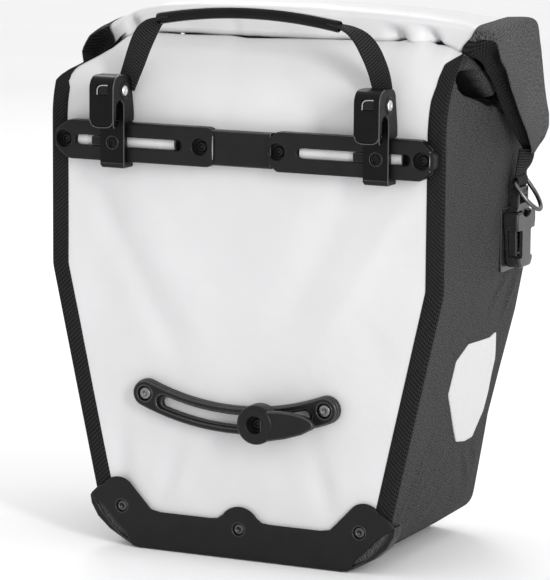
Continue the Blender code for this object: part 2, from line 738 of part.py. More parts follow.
def build_reflectors():
    """Flat patches that lie on the tapering part of each side."""
    lean = math.atan2(HALF_TOP - HALF_BASE, TAPER_Z - CORNER_Z)
    low, high = 80.0, 161.0
    rise = (high - low) / math.cos(lean)
    outline = [(102, 2), (117, 0), (131, 0.5), (142, 18), (144, 35), (141, 60), (130, rise),
               (120, rise - 3), (79, rise - 5), (64, rise - 18), (64, 44)]
    for side, sign in (("left", -1), ("right", 1)):
        bm = plate_mesh([outline], "YZ", GAP, GAP + 0.9)
        turn = Matrix.Rotation(lean, 3, "Y")
        bmesh.ops.rotate(bm, matrix=turn, verts=bm.verts)
        edge = HALF_BASE + (low - CORNER_Z) * math.tan(lean)
        bmesh.ops.translate(bm, vec=(edge, 0, low), verts=bm.verts)
        if sign < 0:
            bmesh.ops.scale(bm, vec=(-1, 1, 1), verts=bm.verts)
        finish("reflector_" + side, bm, "reflector", (0, 0, 0))


def buckle_point(y, z):
    return (BUCKLE_DEPTH + y, z)


def build_buckle(side, sign):
    plate_x = span(sign, HALF_TOP + GAP, SOCKET_X[0] - GAP)
    low_z, high_z = SOCKET_Z
    base = rounded([buckle_point(-19, low_z - 2), buckle_point(19, low_z - 2),
                    buckle_point(20, high_z + 2), buckle_point(-20, high_z + 2)], 2, 2)
    plate("buckle_plate_" + side, [base], "YZ", *plate_x, "black_plastic")
    half = [(18, high_z), (18, high_z - 12), (15, low_z + 7), (10, low_z)]
    body = [buckle_point(y, z) for y, z in half] + [buckle_point(-y, z) for y, z in half[::-1]]
    socket = plate("buckle_socket_" + side, [body], "YZ", *span(sign, *SOCKET_X), "black_plastic")
    inner = [(15.3, high_z + 5), (15.3, high_z - 12), (13.0, low_z + 6), (-13.0, low_z + 6),
             (-15.3, high_z - 12), (-15.3, high_z + 5)]
    cavity = plate_mesh([[buckle_point(y, z) for y, z in inner]], "YZ",
                        *span(sign, SOCKET_X[0] + 2.4, SOCKET_X[1] - 2.4))
    window_x = span(sign, SOCKET_X[0] + 2.8, SOCKET_X[1] - 2.8)
    window = box_mesh((window_x[0], BUCKLE_DEPTH - 40, low_z + 10),
                      (window_x[1], BUCKLE_DEPTH + 40, low_z + 30))
    cut(socket, [cutter(cavity), cutter(window)])
    build_clip(side, sign)
    build_ring(side, sign)
    strap = box_mesh((0, BUCKLE_DEPTH - 10, CLIP_TOP_Z + 0.5), (1.6, BUCKLE_DEPTH + 10, EAR_BOTTOM_Z - GAP))
    shift = span(sign, 170.4, 172.0)[0]
    bmesh.ops.translate(strap, vec=(shift, 0, 0), verts=strap.verts)
    finish("ear_strap_" + side, strap, "webbing", (0, 0, 0))


def build_clip(side, sign):
    """The plug: a webbing frame above the socket, with a tongue and two prongs."""
    low_z, high_z = SOCKET_Z
    thick = span(sign, SOCKET_X[0] + 2.8, SOCKET_X[1] - 2.8)
    root_z = high_z - 4.0
    outline = [(10, CLIP_TOP_Z), (10.5, high_z + 4), (14, high_z + GAP), (3, high_z + GAP),
               (1.6, high_z - 2), (1.6, low_z + 16), (-1.6, low_z + 16), (-1.6, high_z - 2),
               (-3, high_z + GAP), (-14, high_z + GAP), (-10.5, high_z + 4), (-10, CLIP_TOP_Z)]
    window = [(-7, high_z + 6), (7, high_z + 6), (7, high_z + 12), (-7, high_z + 12)]
    origin = (sign * sum(SOCKET_X) / 2, BUCKLE_DEPTH, high_z)
    plate("clip_" + side, [[buckle_point(*p) for p in outline], [buckle_point(*p) for p in window]],
          "YZ", *thick, "black_plastic", origin)
    prong = [(14.4, high_z - GAP), (14.6, high_z - 12), (12.6, low_z + 9), (10.6, low_z + 8),
             (9.6, low_z + 12), (10.6, high_z - 10), (9.4, high_z - GAP)]
    for name, mirror in (("back", -1), ("front", 1)):
        points = [buckle_point(mirror * y, z) for y, z in prong]
        pivot = (sign * sum(SOCKET_X) / 2, BUCKLE_DEPTH + mirror * 12, root_z)
        plate("prong_%s_%s" % (side, name), [points], "YZ", *thick, "black_plastic", pivot)


def build_ring(side, sign):
    """A D-shaped wire ring whose straight side is its hinge."""
    half = 12.4
    points = [(-half, 0.0), (-half, 9.0)]
    for angle in range(15, 180, 15):
        a = math.radians(angle)
        points.append((-half * math.cos(a), 9.0 + (RING_REACH - 9.0) * math.sin(a)))
    points += [(half, 9.0), (half, 0.0)]
    route = []
    for y, drop in points:
        x = RING_HINGE[0] + drop * math.sin(RING_TILT)
        z = RING_HINGE[1] - drop * math.cos(RING_TILT)
        route.append((sign * x, BUCKLE_DEPTH + y, z))
    finish("d_ring_" + side, wire_mesh(route, RING_WIRE, True), "dark_steel",
           (sign * RING_HINGE[0], BUCKLE_DEPTH, RING_HINGE[1]))


def build_bag():
    build_shell()
    build_strips()
    build_inside()
    build_roll()
    build_rail()
    for side in HOOK_X:
        build_hook(side)
    build_handle()
    build_lower_hook()
    build_protector()
    build_reflectors()
    for side, sign in (("left", -1), ("right", 1)):
        build_buckle(side, sign)
    bpy.context.view_layer.update()


build_bag()
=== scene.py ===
"""The looks of the roll-top pannier bag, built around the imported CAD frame.

Points are millimetres unless a name says otherwise.  "Depth" runs from the outer face
of the back panel, which is the rack side, towards the bag's front.
"""
import math

import bmesh
import bpy
import numpy as np
from mathutils import Matrix, Vector, noise
from mathutils.bvhtree import BVHTree


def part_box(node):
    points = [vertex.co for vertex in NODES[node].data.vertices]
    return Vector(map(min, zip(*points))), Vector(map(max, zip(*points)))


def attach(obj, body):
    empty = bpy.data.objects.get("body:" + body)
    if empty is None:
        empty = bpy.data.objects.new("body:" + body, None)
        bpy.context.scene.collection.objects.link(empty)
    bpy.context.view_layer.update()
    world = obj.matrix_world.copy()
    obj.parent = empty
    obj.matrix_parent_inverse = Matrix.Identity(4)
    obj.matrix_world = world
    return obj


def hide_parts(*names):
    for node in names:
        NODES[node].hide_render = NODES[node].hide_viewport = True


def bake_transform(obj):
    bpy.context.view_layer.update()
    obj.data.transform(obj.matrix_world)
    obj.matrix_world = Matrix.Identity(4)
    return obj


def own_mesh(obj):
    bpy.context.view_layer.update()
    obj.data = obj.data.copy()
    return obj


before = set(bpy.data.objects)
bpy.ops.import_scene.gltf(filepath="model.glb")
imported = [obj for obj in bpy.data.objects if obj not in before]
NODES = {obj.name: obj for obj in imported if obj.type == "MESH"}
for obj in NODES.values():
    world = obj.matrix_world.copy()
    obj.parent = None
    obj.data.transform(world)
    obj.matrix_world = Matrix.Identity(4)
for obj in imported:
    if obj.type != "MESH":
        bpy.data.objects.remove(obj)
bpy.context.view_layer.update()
MM = 0.001
BACK_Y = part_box("back_panel")[0].y / MM

# ---- sizes shared by the pieces

DEPTH = 165.0
SIDE_PROFILE = [(0.0, 0.0), (85.0, 0.0), (118.0, 22.0), (160.0, 211.0), (160.0, 357.0)]
SIDE_RADII = [0.0, 16.0, 16.0, 30.0, 0.0]
STRIP_WIDTH = 14.0
STRIP_PROUD = 0.9
HOOK_X = {"left": -99.5, "right": 113.0}
SIGNS = {"left": -1, "right": 1}


# ---- camera, light, floor

VIEW_AZIMUTH = math.radians(25.2)
VIEW_ELEVATION = math.radians(9.28)
VIEW_ROLL = math.radians(0.45)
VIEW_DISTANCE = 2.474
VIEW_TARGET = Vector((0.0265, -0.0825, 0.2051))
VIEW_LENS = 209.4


def add_object(name, data):
    """A new object in the scene that shows the data."""
    obj = bpy.data.objects.new(name, data)
    bpy.context.scene.collection.objects.link(obj)
    return obj


def make_camera():
    level = math.cos(VIEW_ELEVATION)
    back = Vector((math.sin(VIEW_AZIMUTH) * level, -math.cos(VIEW_AZIMUTH) * level,
                   math.sin(VIEW_ELEVATION)))
    data = bpy.data.cameras.new("photo_camera")
    data.sensor_fit = "VERTICAL"
    data.sensor_height = 36.0
    data.lens = VIEW_LENS
    data.clip_end = 30.0
    camera = add_object("photo_camera", data)
    turn = (-back).to_track_quat("-Z", "Y").to_matrix() @ Matrix.Rotation(VIEW_ROLL, 3, "Z")
    camera.matrix_world = Matrix.Translation(VIEW_TARGET + back * VIEW_DISTANCE) @ turn.to_4x4()
    bpy.context.scene.camera = camera


def area_light(name, place, aim, size, power):
    data = bpy.data.lights.new(name, "AREA")
    data.shape = "RECTANGLE"
    data.size, data.size_y = size
    data.energy = power
    light = add_object(name, data)
    direction = Vector(aim) - Vector(place)
    light.matrix_world = (Matrix.Translation(place)
                          @ direction.to_track_quat("-Z", "Y").to_matrix().to_4x4())


def make_studio():
    bpy.context.scene.view_settings.view_transform = "Standard"
    world = bpy.data.worlds.new("studio")
    world.use_nodes = True
    background = world.node_tree.nodes["Background"]
    background.inputs["Color"].default_value = (1.0, 1.0, 1.0, 1.0)
    background.inputs["Strength"].default_value = 1.0
    bpy.context.scene.world = world
    area_light("key", (1.8, -1.3, 0.9), (0, 0, 0.25), (0.35, 1.2), 27.0)
    area_light("back_left", (-1.0, 1.6, 1.8), (0, 0, 0.1), (0.8, 0.8), 12.0)
    bm = bmesh.new()
    bmesh.ops.create_grid(bm, x_segments=8, y_segments=8, size=6.0)
    mesh = bpy.data.meshes.new("floor")
    bm.to_mesh(mesh)
    bm.free()
    floor = add_object("floor", mesh)
    floor.location.z = -0.0004
    floor.data.materials.append(paper_material())


# ---- materials


class Nodes:
    """A short way to write a node tree: each call adds a node and returns its output."""

    def __init__(self, name, tone, roughness, specular=0.5, metallic=0.0):
        self.material = bpy.data.materials.new(name)
        self.material.use_nodes = True
        self.tree = self.material.node_tree
        self.shader = self.tree.nodes["Principled BSDF"]
        self.material.diffuse_color = (*grey(tone), 1.0)
        for socket, value in (("Base Color", (*grey(tone), 1.0)), ("Roughness", roughness),
                              ("Specular IOR Level", specular), ("Metallic", metallic)):
            self.shader.inputs[socket].default_value = value

    def add(self, kind, inputs=None, output=0, **settings):
        node = self.tree.nodes.new(kind)
        for key, value in settings.items():
            setattr(node, key, value)
        for key, value in (inputs or {}).items():
            if isinstance(value, bpy.types.NodeSocket):
                self.tree.links.new(value, node.inputs[key])
            else:
                node.inputs[key].default_value = value
        return node.outputs[output]

    def math(self, operation, first, second=0.0):
        return self.add("ShaderNodeMath", {0: first, 1: second}, operation=operation)

    def times(self, first, second):
        return self.math("MULTIPLY", first, second)

    def sum(self, *terms):
        total = terms[0]
        for term in terms[1:]:
            total = self.math("ADD", total, term)
        return total

    def surface_place(self):
        """Where a point is on a cloth piece, in metres across and along the cloth."""
        return self.add("ShaderNodeUVMap", uv_map="cloth")

    def solid_place(self):
        """Where a point is in the object, in metres."""
        return self.add("ShaderNodeTexCoord", output=3)

    def noise(self, place, per_metre, detail=3.0):
        return self.add("ShaderNodeTexNoise", {"Vector": place, "Scale": per_metre, "Detail": detail})

    def streaks(self, place, *per_metre):
        """Noise drawn out in one direction: how many features a metre holds each way."""
        return self.noise(self.add("ShaderNodeMapping", {"Vector": place, "Scale": per_metre}), 1.0, 2.0)

    def waves(self, place, *pitches):
        """Sines across and along the cloth, with their pitches in metres."""
        split = self.tree.nodes.new("ShaderNodeSeparateXYZ")
        self.tree.links.new(place, split.inputs[0])
        return [self.math("SINE", self.times(output, 2 * math.pi / pitch))
                for output, pitch in zip(split.outputs, pitches)]

    def shade(self, value, *stops):
        """Colours the surface by a value: two stops, each a value and its grey."""
        node = self.tree.nodes.new("ShaderNodeValToRGB")
        for element, (position, tone) in zip(node.color_ramp.elements, stops):
            element.position = position
            element.color = (*grey(tone), 1.0)
        self.tree.links.new(value, node.inputs["Fac"])
        self.tree.links.new(node.outputs["Color"], self.shader.inputs["Base Color"])

    def rough(self, noise, low, high):
        """Roughness from low to high, by a noise that mostly runs from 0.3 to 0.7."""
        value = self.add("ShaderNodeMapRange", {"Value": noise, "From Min": 0.3, "From Max": 0.7,
                                                "To Min": low, "To Max": high})
        self.tree.links.new(value, self.shader.inputs["Roughness"])

    def bump(self, *layers):
        """Stacks bump maps, each a height and the depth in metres that it stands for."""
        normal = None
        for height, depth in layers:
            inputs = {"Height": height, "Distance": depth, "Strength": 1.0}
            if normal is not None:
                inputs["Normal"] = normal
            normal = self.add("ShaderNodeBump", inputs)
        self.tree.links.new(normal, self.shader.inputs["Normal"])


def grey(value):
    return (value, value, value * 1.01)


def paper_material():
    nodes = Nodes("floor_paper", 0.9, 0.9, 0.1)
    nodes.shade(nodes.noise(nodes.solid_place(), 2.0), (0.3, 0.89), (0.7, 0.91))
    return nodes.material


def tarpaulin_material():
    """White coated fabric: smooth, a little glossy, with a faint weave under the coating."""
    nodes = Nodes("white_tarpaulin", 0.8, 0.42, 0.35)
    place = nodes.surface_place()
    weave = nodes.times(*nodes.waves(place, 0.0014, 0.0014))
    nodes.shade(nodes.noise(place, 14.0), (0.3, 0.60), (0.7, 0.63))
    nodes.rough(nodes.noise(place, 60.0), 0.36, 0.5)
    grain, creases = nodes.noise(place, 900.0, 2.0), nodes.noise(place, 32.0, 4.0)
    nodes.bump((weave, 0.000012), (grain, 0.00003), (creases, 0.0007))
    return nodes.material


def weave_material(name, dark, light, pitch, turn, slubs, contrast):
    """Black coated weave with lighter thread crowns.

    pitch is the threads' spacing in metres and turn lays them on the skew; slubs is how many
    thick places a metre holds across and along; contrast is (crowns, slubs)."""
    nodes = Nodes(name, light, 0.74, 0.12)
    place = nodes.surface_place()
    turned = nodes.add("ShaderNodeVectorRotate", {"Vector": place, "Angle": turn}, rotation_type="Z_AXIS")
    crown = nodes.times(*nodes.waves(turned, *pitch))
    slub = nodes.streaks(place, *slubs, 1.0)
    mottle = nodes.noise(place, 18.0, 4.0)
    tone = nodes.sum(nodes.times(crown, contrast[0]),
                     nodes.times(nodes.math("SUBTRACT", slub, 0.5), contrast[1]),
                     nodes.times(nodes.math("SUBTRACT", mottle, 0.5), 0.4), 0.5)
    nodes.shade(tone, (0.08, dark), (0.92, light))
    nodes.rough(mottle, 0.66, 0.82)
    nodes.bump((crown, 0.00012), (slub, 0.00008), (nodes.noise(place, 36.0), 0.0016))
    return nodes.material


def webbing_material():
    """Ribbed webbing: ribs across its length and a herringbone of threads between them."""
    nodes = Nodes("ribbed_webbing", 0.02, 0.75, 0.1)
    place = nodes.surface_place()
    threads, ribs = nodes.waves(place, 0.0026, 0.0021)
    height = nodes.sum(ribs, nodes.times(nodes.times(ribs, threads), 0.6))
    fuzz = nodes.noise(place, 1400.0)
    nodes.shade(nodes.sum(nodes.times(height, 0.2), fuzz), (0.2, 0.002), (0.8, 0.034))
    nodes.bump((height, 0.00022), (fuzz, 0.00015))
    return nodes.material


def plastic_material(name, tone, roughness, specular=0.4, grain=0.00002):
    """Moulded plastic with a fine spark-eroded grain, slightly polished in places."""
    nodes = Nodes(name, tone, roughness, specular)
    place = nodes.solid_place()
    wide = nodes.noise(place, 70.0, 4.0)
    nodes.shade(wide, (0.3, tone * 0.85), (0.7, tone * 1.2))
    nodes.rough(wide, roughness - 0.07, roughness + 0.07)
    nodes.bump((nodes.noise(place, 2400.0, 2.0), grain), (nodes.noise(place, 160.0), 0.00006))
    return nodes.material


def steel_material(name, tone, roughness):
    nodes = Nodes(name, tone, roughness, 0.5, 1.0)
    place = nodes.solid_place()
    brush = nodes.streaks(place, 300.0, 2200.0, 2200.0)
    nodes.shade(nodes.noise(place, 120.0), (0.3, tone * 0.85), (0.7, tone * 1.1))
    nodes.rough(brush, roughness - 0.06, roughness + 0.1)
    nodes.bump((brush, 0.00001))
    return nodes.material


def reflector_material():
    """Pearly reflective film: a fine honeycomb under a clear coat."""
    nodes = Nodes("reflective_film", 0.7, 0.32)
    place = nodes.surface_place()
    cells = nodes.add("ShaderNodeTexVoronoi", {"Vector": place, "Scale": 420.0}, feature="DISTANCE_TO_EDGE")
    wide = nodes.noise(place, 25.0)
    tone = nodes.sum(nodes.math("MINIMUM", nodes.times(cells, 9.0), 1.0), nodes.times(wide, 0.6))
    nodes.shade(tone, (0.4, 0.48), (1.0, 0.55))
    nodes.rough(wide, 0.26, 0.4)
    nodes.shader.inputs["Coat Weight"].default_value = 0.3
    nodes.bump((cells, 0.00006))
    return nodes.material


# Cloths: dark and light grey, thread pitches, skew, slubs in a metre, contrasts.
CLOTHS = {
    "side_cloth": (0.008, 0.066, (0.0040, 0.0021), 0.0, (420.0, 1060.0), (0.4, 2.6)),
    # Darker black cloth for the seam strips, also used as painted shade on the roll ends' back faces.
    "strip_and_shade_cloth": (0.001, 0.021, (0.0044, 0.0031), 0.0, (420.0, 420.0), (0.62, 0.5)),
    # A still darker copy of the black cloth: painted shade inside the gusset's hollow.
    "hollow_shade_cloth": (0.001, 0.010, (0.0036, 0.0024), 0.0, (420.0, 420.0), (0.5, 0.6)),
    "ear_cloth": (0.012, 0.108, (0.0032, 0.0028), math.radians(20), (480.0, 600.0), (0.30, 1.7))}
# Plastics: the material's name, grey, roughness, specular, grain.
PLASTICS = {
    "plastic": ("satin_black_plastic", 0.007, 0.38, 0.20),
    # Lighter edge plastic for bevels: edge wear and painted highlight.
    "satin_black_plastic_edge": ("satin_black_plastic_edge", 0.022, 0.24, 0.5),
    "hook_plastic": ("smooth_hook_plastic", 0.003, 0.33, 0.13),
    "buckle": ("semi_gloss_black_plastic", 0.016, 0.27, 0.5),
    "grip": ("glossy_black_tube", 0.003, 0.18, 0.16, 0.000004),
    "board": ("grey_board", 0.06, 0.6),
    # Lighter plastics for thin beads along edges: painted highlight lines.
    "rim": ("painted_highlight_edge", 0.05, 0.22, 0.6),
    "bright_rim": ("bright_painted_highlight_edge", 0.30, 0.25, 0.6)}
# Steels: the material's name, grey, roughness.
STEELS = {
    "rivet": ("bright_rivet_steel", 0.85, 0.28),
    "screw": ("black_oxide_steel", 0.10, 0.36),
    # A darker copy of the screw steel: painted shade on heads deep in their wells.
    "dark_screw": ("shade_darkened_screw", 0.022, 0.36),
    "bright_screw": ("grey_screw_steel", 0.22, 0.34),
    "ring": ("dark_nickel_wire", 0.13, 0.26)}
MATERIALS = {"tarpaulin": tarpaulin_material(), "webbing": webbing_material(),
             "reflector": reflector_material()}
MATERIALS.update({key: weave_material(key, *values) for key, values in CLOTHS.items()})
MATERIALS.update({key: plastic_material(*values) for key, values in PLASTICS.items()})
MATERIALS.update({key: steel_material(*values) for key, values in STEELS.items()})


# ---- ways to make a piece


def to_world(points):
    """Points in millimetres, with depth from the back panel, as metres in the CAD frame."""
    return (np.asarray(points, float) + (0.0, BACK_Y, 0.0)) * MM


def smooth(value, low, high):
    t = np.clip((np.asarray(value, float) - low) / (high - low), 0.0, 1.0)
    return t * t * (3.0 - 2.0 * t)


def bell(value, centre, width):
    return np.exp(-((np.asarray(value, float) - centre) / width) ** 2)


def wander(points, per_metre, seed):
    """Smooth noise, about -1 to 1, at each of an array of points in millimetres."""
    flat = np.asarray(points, float).reshape(-1, 3) * MM * per_metre
    values = [noise.noise(Vector((p[0] + seed, p[1] - seed, p[2] + 2 * seed))) for p in flat]
    return np.array(values).reshape(np.shape(points)[:-1])


def register(obj, material, body):
    obj.data.materials.clear()
    obj.data.materials.append(MATERIALS[material])
    if body:
        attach(obj, body)
    return obj


def mesh_piece(name, points, faces, material, body):
    """A sheet or loft from a grid of points in millimetres, with its weave laid along the grid."""
    across = path_lengths(points.swapaxes(0, 1)).swapaxes(0, 1)
    uvs = np.stack([across, path_lengths(points)], axis=-1).reshape(-1, 2) * MM
    mesh = bpy.data.meshes.new(name)
    mesh.from_pydata(to_world(points.reshape(-1, 3)).tolist(), [], faces)
    layer = mesh.uv_layers.new(name="cloth")
    corner = np.zeros(len(mesh.loops), np.int32)
    mesh.loops.foreach_get("vertex_index", corner)
    layer.data.foreach_set("uv", np.asarray(uvs, np.float32)[corner].ravel())
    mesh.shade_smooth()
    return register(add_object(name, mesh), material, body)


def grid_faces(rows, cols, closed=False):
    faces = []
    for r in range(rows - 1):
        for c in range(cols if closed else cols - 1):
            d = (c + 1) % cols
            faces.append((r * cols + c, r * cols + d, (r + 1) * cols + d, (r + 1) * cols + c))
    return faces


def path_lengths(points):
    """Distance run along the first axis of an array of points."""
    steps = np.linalg.norm(np.diff(points, axis=0), axis=-1)
    return np.concatenate([np.zeros((1,) + steps.shape[1:]), np.cumsum(steps, axis=0)])


def resampled(points, places, at):
    """The line through the points, which lie at the given places, read at other places."""
    return np.stack([np.interp(at, places, column) for column in np.asarray(points, float).T], axis=-1)


def softened(padded, reach):
    """A line averaged along its length, which uses up its padding at both ends."""
    kernel = np.hanning(2 * reach + 3)[1:-1]
    kernel /= kernel.sum()
    return np.stack([np.convolve(column, kernel, "valid") for column in padded.T], axis=-1)


def sheet_piece(name, points, material, flip=False):
    """A grid of points as one sheet of cloth."""
    points = np.asarray(points, float)
    faces = grid_faces(*points.shape[:2])
    if flip:
        faces = [face[::-1] for face in faces]
    return mesh_piece(name, points, faces, material, "root")


def loft_piece(name, sections, material, body="root", caps=True):
    """Closed sections joined one after another; the weave's seam lies on the first point."""
    sections = np.asarray(sections, float)
    rings = np.concatenate([sections, sections[:, :1]], axis=1)
    rows, width = rings.shape[:2]
    faces = grid_faces(rows, width)
    if caps:
        faces.append(tuple(range(width - 2, -1, -1)))
        faces.append(tuple((rows - 1) * width + c for c in range(width - 1)))
    return weld(mesh_piece(name, rings, faces, material, body))


def clean(mesh, merge=0.0, sliver=0.0):
    """Joins points that lie on one another, drops slivers and turns every face outwards."""
    bm = bmesh.new()
    bm.from_mesh(mesh)
    if merge:
        bmesh.ops.remove_doubles(bm, verts=bm.verts, dist=merge)
    if sliver:
        bmesh.ops.dissolve_degenerate(bm, edges=bm.edges, dist=sliver)
    bmesh.ops.recalc_face_normals(bm, faces=bm.faces)
    bm.to_mesh(mesh)
    bm.free()


def weld(obj):
    clean(obj.data, 1e-7)
    return obj


def rounded(points, radii, count):
    """An open or closed run of corners with each corner turned into an arc."""
    result = []
    total = len(points)
    for k in range(total):
        radius = radii[k] if hasattr(radii, "__len__") else radii
        here = Vector(points[k])
        if radius <= 0:
            result.append(tuple(here))
            continue
        before = Vector(points[k - 1]) - here
        after = Vector(points[(k + 1) % total]) - here
        half = before.angle(after) / 2
        reach = min(radius / math.tan(half), before.length * 0.49, after.length * 0.49)
        start, end = here + before.normalized() * reach, here + after.normalized() * reach
        for step in range(count + 1):
            t = step / count
            result.append(tuple(start * (1 - t) ** 2 + here * 2 * t * (1 - t) + end * t ** 2))
    return result


def circle(centre, radius, count):
    return arc(centre, radius, 0, 360, count)[:-1]


def arc(centre, radius, start, end, count):
    angles = [math.radians(start + (end - start) * k / count) for k in range(count + 1)]
    return [(centre[0] + radius * math.cos(a), centre[1] + radius * math.sin(a)) for a in angles]


def curve_mesh(curve):
    """The evaluated mesh of a curve, which is then thrown away."""
    carrier = add_object(curve.name, curve)
    graph = bpy.context.evaluated_depsgraph_get()
    mesh = bpy.data.meshes.new_from_object(carrier.evaluated_get(graph))
    bpy.data.objects.remove(carrier)
    bpy.data.curves.remove(curve)
    return mesh


def box_loop(across, up):
    """A rectangle, from its lowest and highest place each way."""
    return [(across[0], up[0]), (across[1], up[0]), (across[1], up[1]), (across[0], up[1])]


def mirrored(half, middle=()):
    """An outline from one half of it, which runs up to the middle line at zero."""
    return half + list(middle) + [(-across, up) for across, up in half[::-1]]


def signed_area(loop):
    return sum(a[0] * b[1] - b[0] * a[1] for a, b in zip(loop, loop[1:] + loop[:1])) / 2


def plate_mesh(name, loops, plane, low, high, edge, drop=None):
    """An outline with holes, given thickness and softened edges.

    In plane "XZ" loops are (x, z) and low..high are depths; in "YZ" loops are
    (depth, z) and low..high are x; in "XY" loops are (x, depth) and low..high are z.
    The edge is softened over this width, and over drop along the thickness."""
    curve = bpy.data.curves.new(name, "CURVE")
    curve.dimensions = "2D"
    curve.fill_mode = "BOTH"
    half = (high - low) / 2
    drop = min(drop or edge, half * 0.9)
    curve.extrude = half - drop
    curve.bevel_depth = edge
    curve.bevel_resolution = 2 if edge < 1.5 else 5
    curve.offset = -edge
    for number, loop in enumerate(loops):
        loop = list(loop)
        if (signed_area(loop) > 0) != (number == 0):
            loop.reverse()
        spline = curve.splines.new("POLY")
        spline.points.add(len(loop) - 1)
        spline.use_cyclic_u = True
        for point, (a, b) in zip(spline.points, loop):
            point.co = (a, b, 0.0, 1.0)
    mesh = curve_mesh(curve)
    middle = (low + high) / 2
    for vertex in mesh.vertices:
        a, b, c = vertex.co
        if edge and abs(c) > half - drop:
            c = math.copysign(half - drop + (abs(c) - half + drop) * drop / edge, c)
        c += middle
        vertex.co = to_world({"XZ": (a, c, b), "YZ": (c, a, b), "XY": (a, b, c)}[plane])
    clean(mesh, 1e-6, 1e-6)
    mesh.name = name
    return mesh


def plate_piece(name, loops, plane, low, high, material, body="root", edge=0.7, drop=None):
    """A flat moulded part with softened edges."""
    mesh = plate_mesh(name, loops, plane, low, high, edge, drop)
    obj = finish_hard(name, mesh, material, body)
    axis = {"XZ": 1, "YZ": 0, "XY": 2}[plane]
    # Bevel faces of thin-edged parts get the lighter edge plastic: edge wear and painted highlight.
    if edge < 1.5:
        wear_and_highlight_edges(obj, [0.12 < abs(polygon.normal[axis]) < 0.97 for polygon in mesh.polygons])
    return obj


def wear_and_highlight_edges(obj, worn_and_highlit):
    """Gives the marked faces a lighter, glossier plastic: partly the polish of a handled edge, partly a
    painted highlight along the edge.
    """
    edge_polish_and_highlight = MATERIALS.get(obj.data.materials[0].name + "_edge")
    if edge_polish_and_highlight is None:
        return
    obj.data.materials.append(edge_polish_and_highlight)
    for polygon, is_worn_and_highlit in zip(obj.data.polygons, worn_and_highlit):
        polygon.material_index = int(is_worn_and_highlit)


def sharpen(mesh):
    mesh.shade_smooth()
    mesh.set_sharp_from_angle(angle=math.radians(40))


def even_normals(obj, keep_sharp=True):
    obj.modifiers.new("weights", "WEIGHTED_NORMAL").keep_sharp = keep_sharp


def finish_hard(name, mesh, material, body):
    sharpen(mesh)
    obj = add_object(name, mesh)
    even_normals(obj)
    return register(obj, material, body)


def carve(obj, *cutters):
    """Cuts away the shapes given as (loop, plane, low, high), and softens the new edges."""
    obj.modifiers.clear()
    tools = []
    for loop, plane, low, high in cutters:
        tool = add_object("tool", plate_mesh("tool", [loop], plane, low, high, 0.0))
        tools.append(tool)
        cut = obj.modifiers.new("cut", "BOOLEAN")
        cut.object, cut.operation, cut.solver = tool, "DIFFERENCE", "EXACT"
    graph = bpy.context.evaluated_depsgraph_get()
    mesh = bpy.data.meshes.new_from_object(obj.evaluated_get(graph))
    obj.modifiers.clear()
    obj.data = mesh
    for tool in tools:
        bpy.data.objects.remove(tool)
    sharpen(mesh)
    bevel = obj.modifiers.new("edges", "BEVEL")
    bevel.width, bevel.segments, bevel.angle_limit = 0.3 * MM, 2, math.radians(50)
    even_normals(obj)


def tube_piece(name, points, radius, material, body="root", cyclic=False, sides=4):
    """A round bar along a smooth line through the points."""
    curve = bpy.data.curves.new(name, "CURVE")
    curve.dimensions = "3D"
    curve.bevel_depth = radius * MM
    curve.bevel_resolution = sides
    curve.use_fill_caps = True
    spline = curve.splines.new("NURBS")
    spline.points.add(len(points) - 1)
    for target, point in zip(spline.points, to_world(points)):
        target.co = (*point, 1.0)
    spline.use_cyclic_u = cyclic
    spline.order_u = 3
    spline.use_endpoint_u = not cyclic
    spline.resolution_u = 6
    mesh = curve_mesh(curve)
    mesh.name = name
    mesh.shade_smooth()
    return weld(register(add_object(name, mesh), material, body))


def lathe_piece(name, centre, axis, profile, material, body, steps=40, drive=None):
    """A turned part: profile is (radius, distance along the axis) from the back to the front.

    drive(angle, radius) may scale the radius to cut a driver's socket."""
    points = []
    for radius, along in profile:
        for k in range(steps):
            angle = 2 * math.pi * k / steps
            r = radius * (drive(angle, radius) if drive else 1.0)
            out, up = r * math.cos(angle), r * math.sin(angle)
            offset = (along, out, up) if axis == "x" else (out, along, up)
            points.append([a + b for a, b in zip(centre, offset)])
    faces = grid_faces(len(profile), steps, closed=True)
    faces.append(tuple(range(steps - 1, -1, -1)))
    faces.append(tuple((len(profile) - 1) * steps + c for c in range(steps)))
    mesh = bpy.data.meshes.new(name)
    mesh.from_pydata(to_world(points).tolist(), [], faces)
    clean(mesh)
    return finish_hard(name, mesh, material, body)


def polish_cad(name, material, width=0.0, segments=2):
    """A CAD node kept as it is, with its own material and softened edges."""
    obj = NODES[name]
    obj.data.materials.clear()
    obj.data.materials.append(MATERIALS[material])
    obj.modifiers.new("weld", "WELD").merge_threshold = 1e-6
    flat = obj.modifiers.new("flat", "DECIMATE")
    flat.decimate_type = "DISSOLVE"
    flat.angle_limit = math.radians(1.5)
    if width:
        bevel = obj.modifiers.new("edges", "BEVEL")
        bevel.width, bevel.segments = width * MM, segments
        bevel.limit_method, bevel.angle_limit = "ANGLE", math.radians(35)
    for polygon in obj.data.polygons:
        polygon.use_smooth = True
    even_normals(obj, keep_sharp=False)


# ---- the white body

ARC_START = 324.0
ARC_RADIUS = 64.0
ARC_TOP = 385.0
# Heights of the rack-side sheet's upper edge, where it goes under the roll.
SHEET_TOP_X = [-157, -156, -149.6, -141.6, -130.8, -120, -116, -109.8, -98.5, -70.8, -33.3, -18.4, 24, 104,
               112, 123, 130, 134, 145.7, 152, 158]
SHEET_TOP_Z = [350, 352, 358.2, 362, 368.2, 375.6, 382.2, 386.2, 386.0, 385.4, 386.4, 385.0, 386.6, 388,
               390, 391, 388.5, 387, 386.5, 384.5, 381.5]


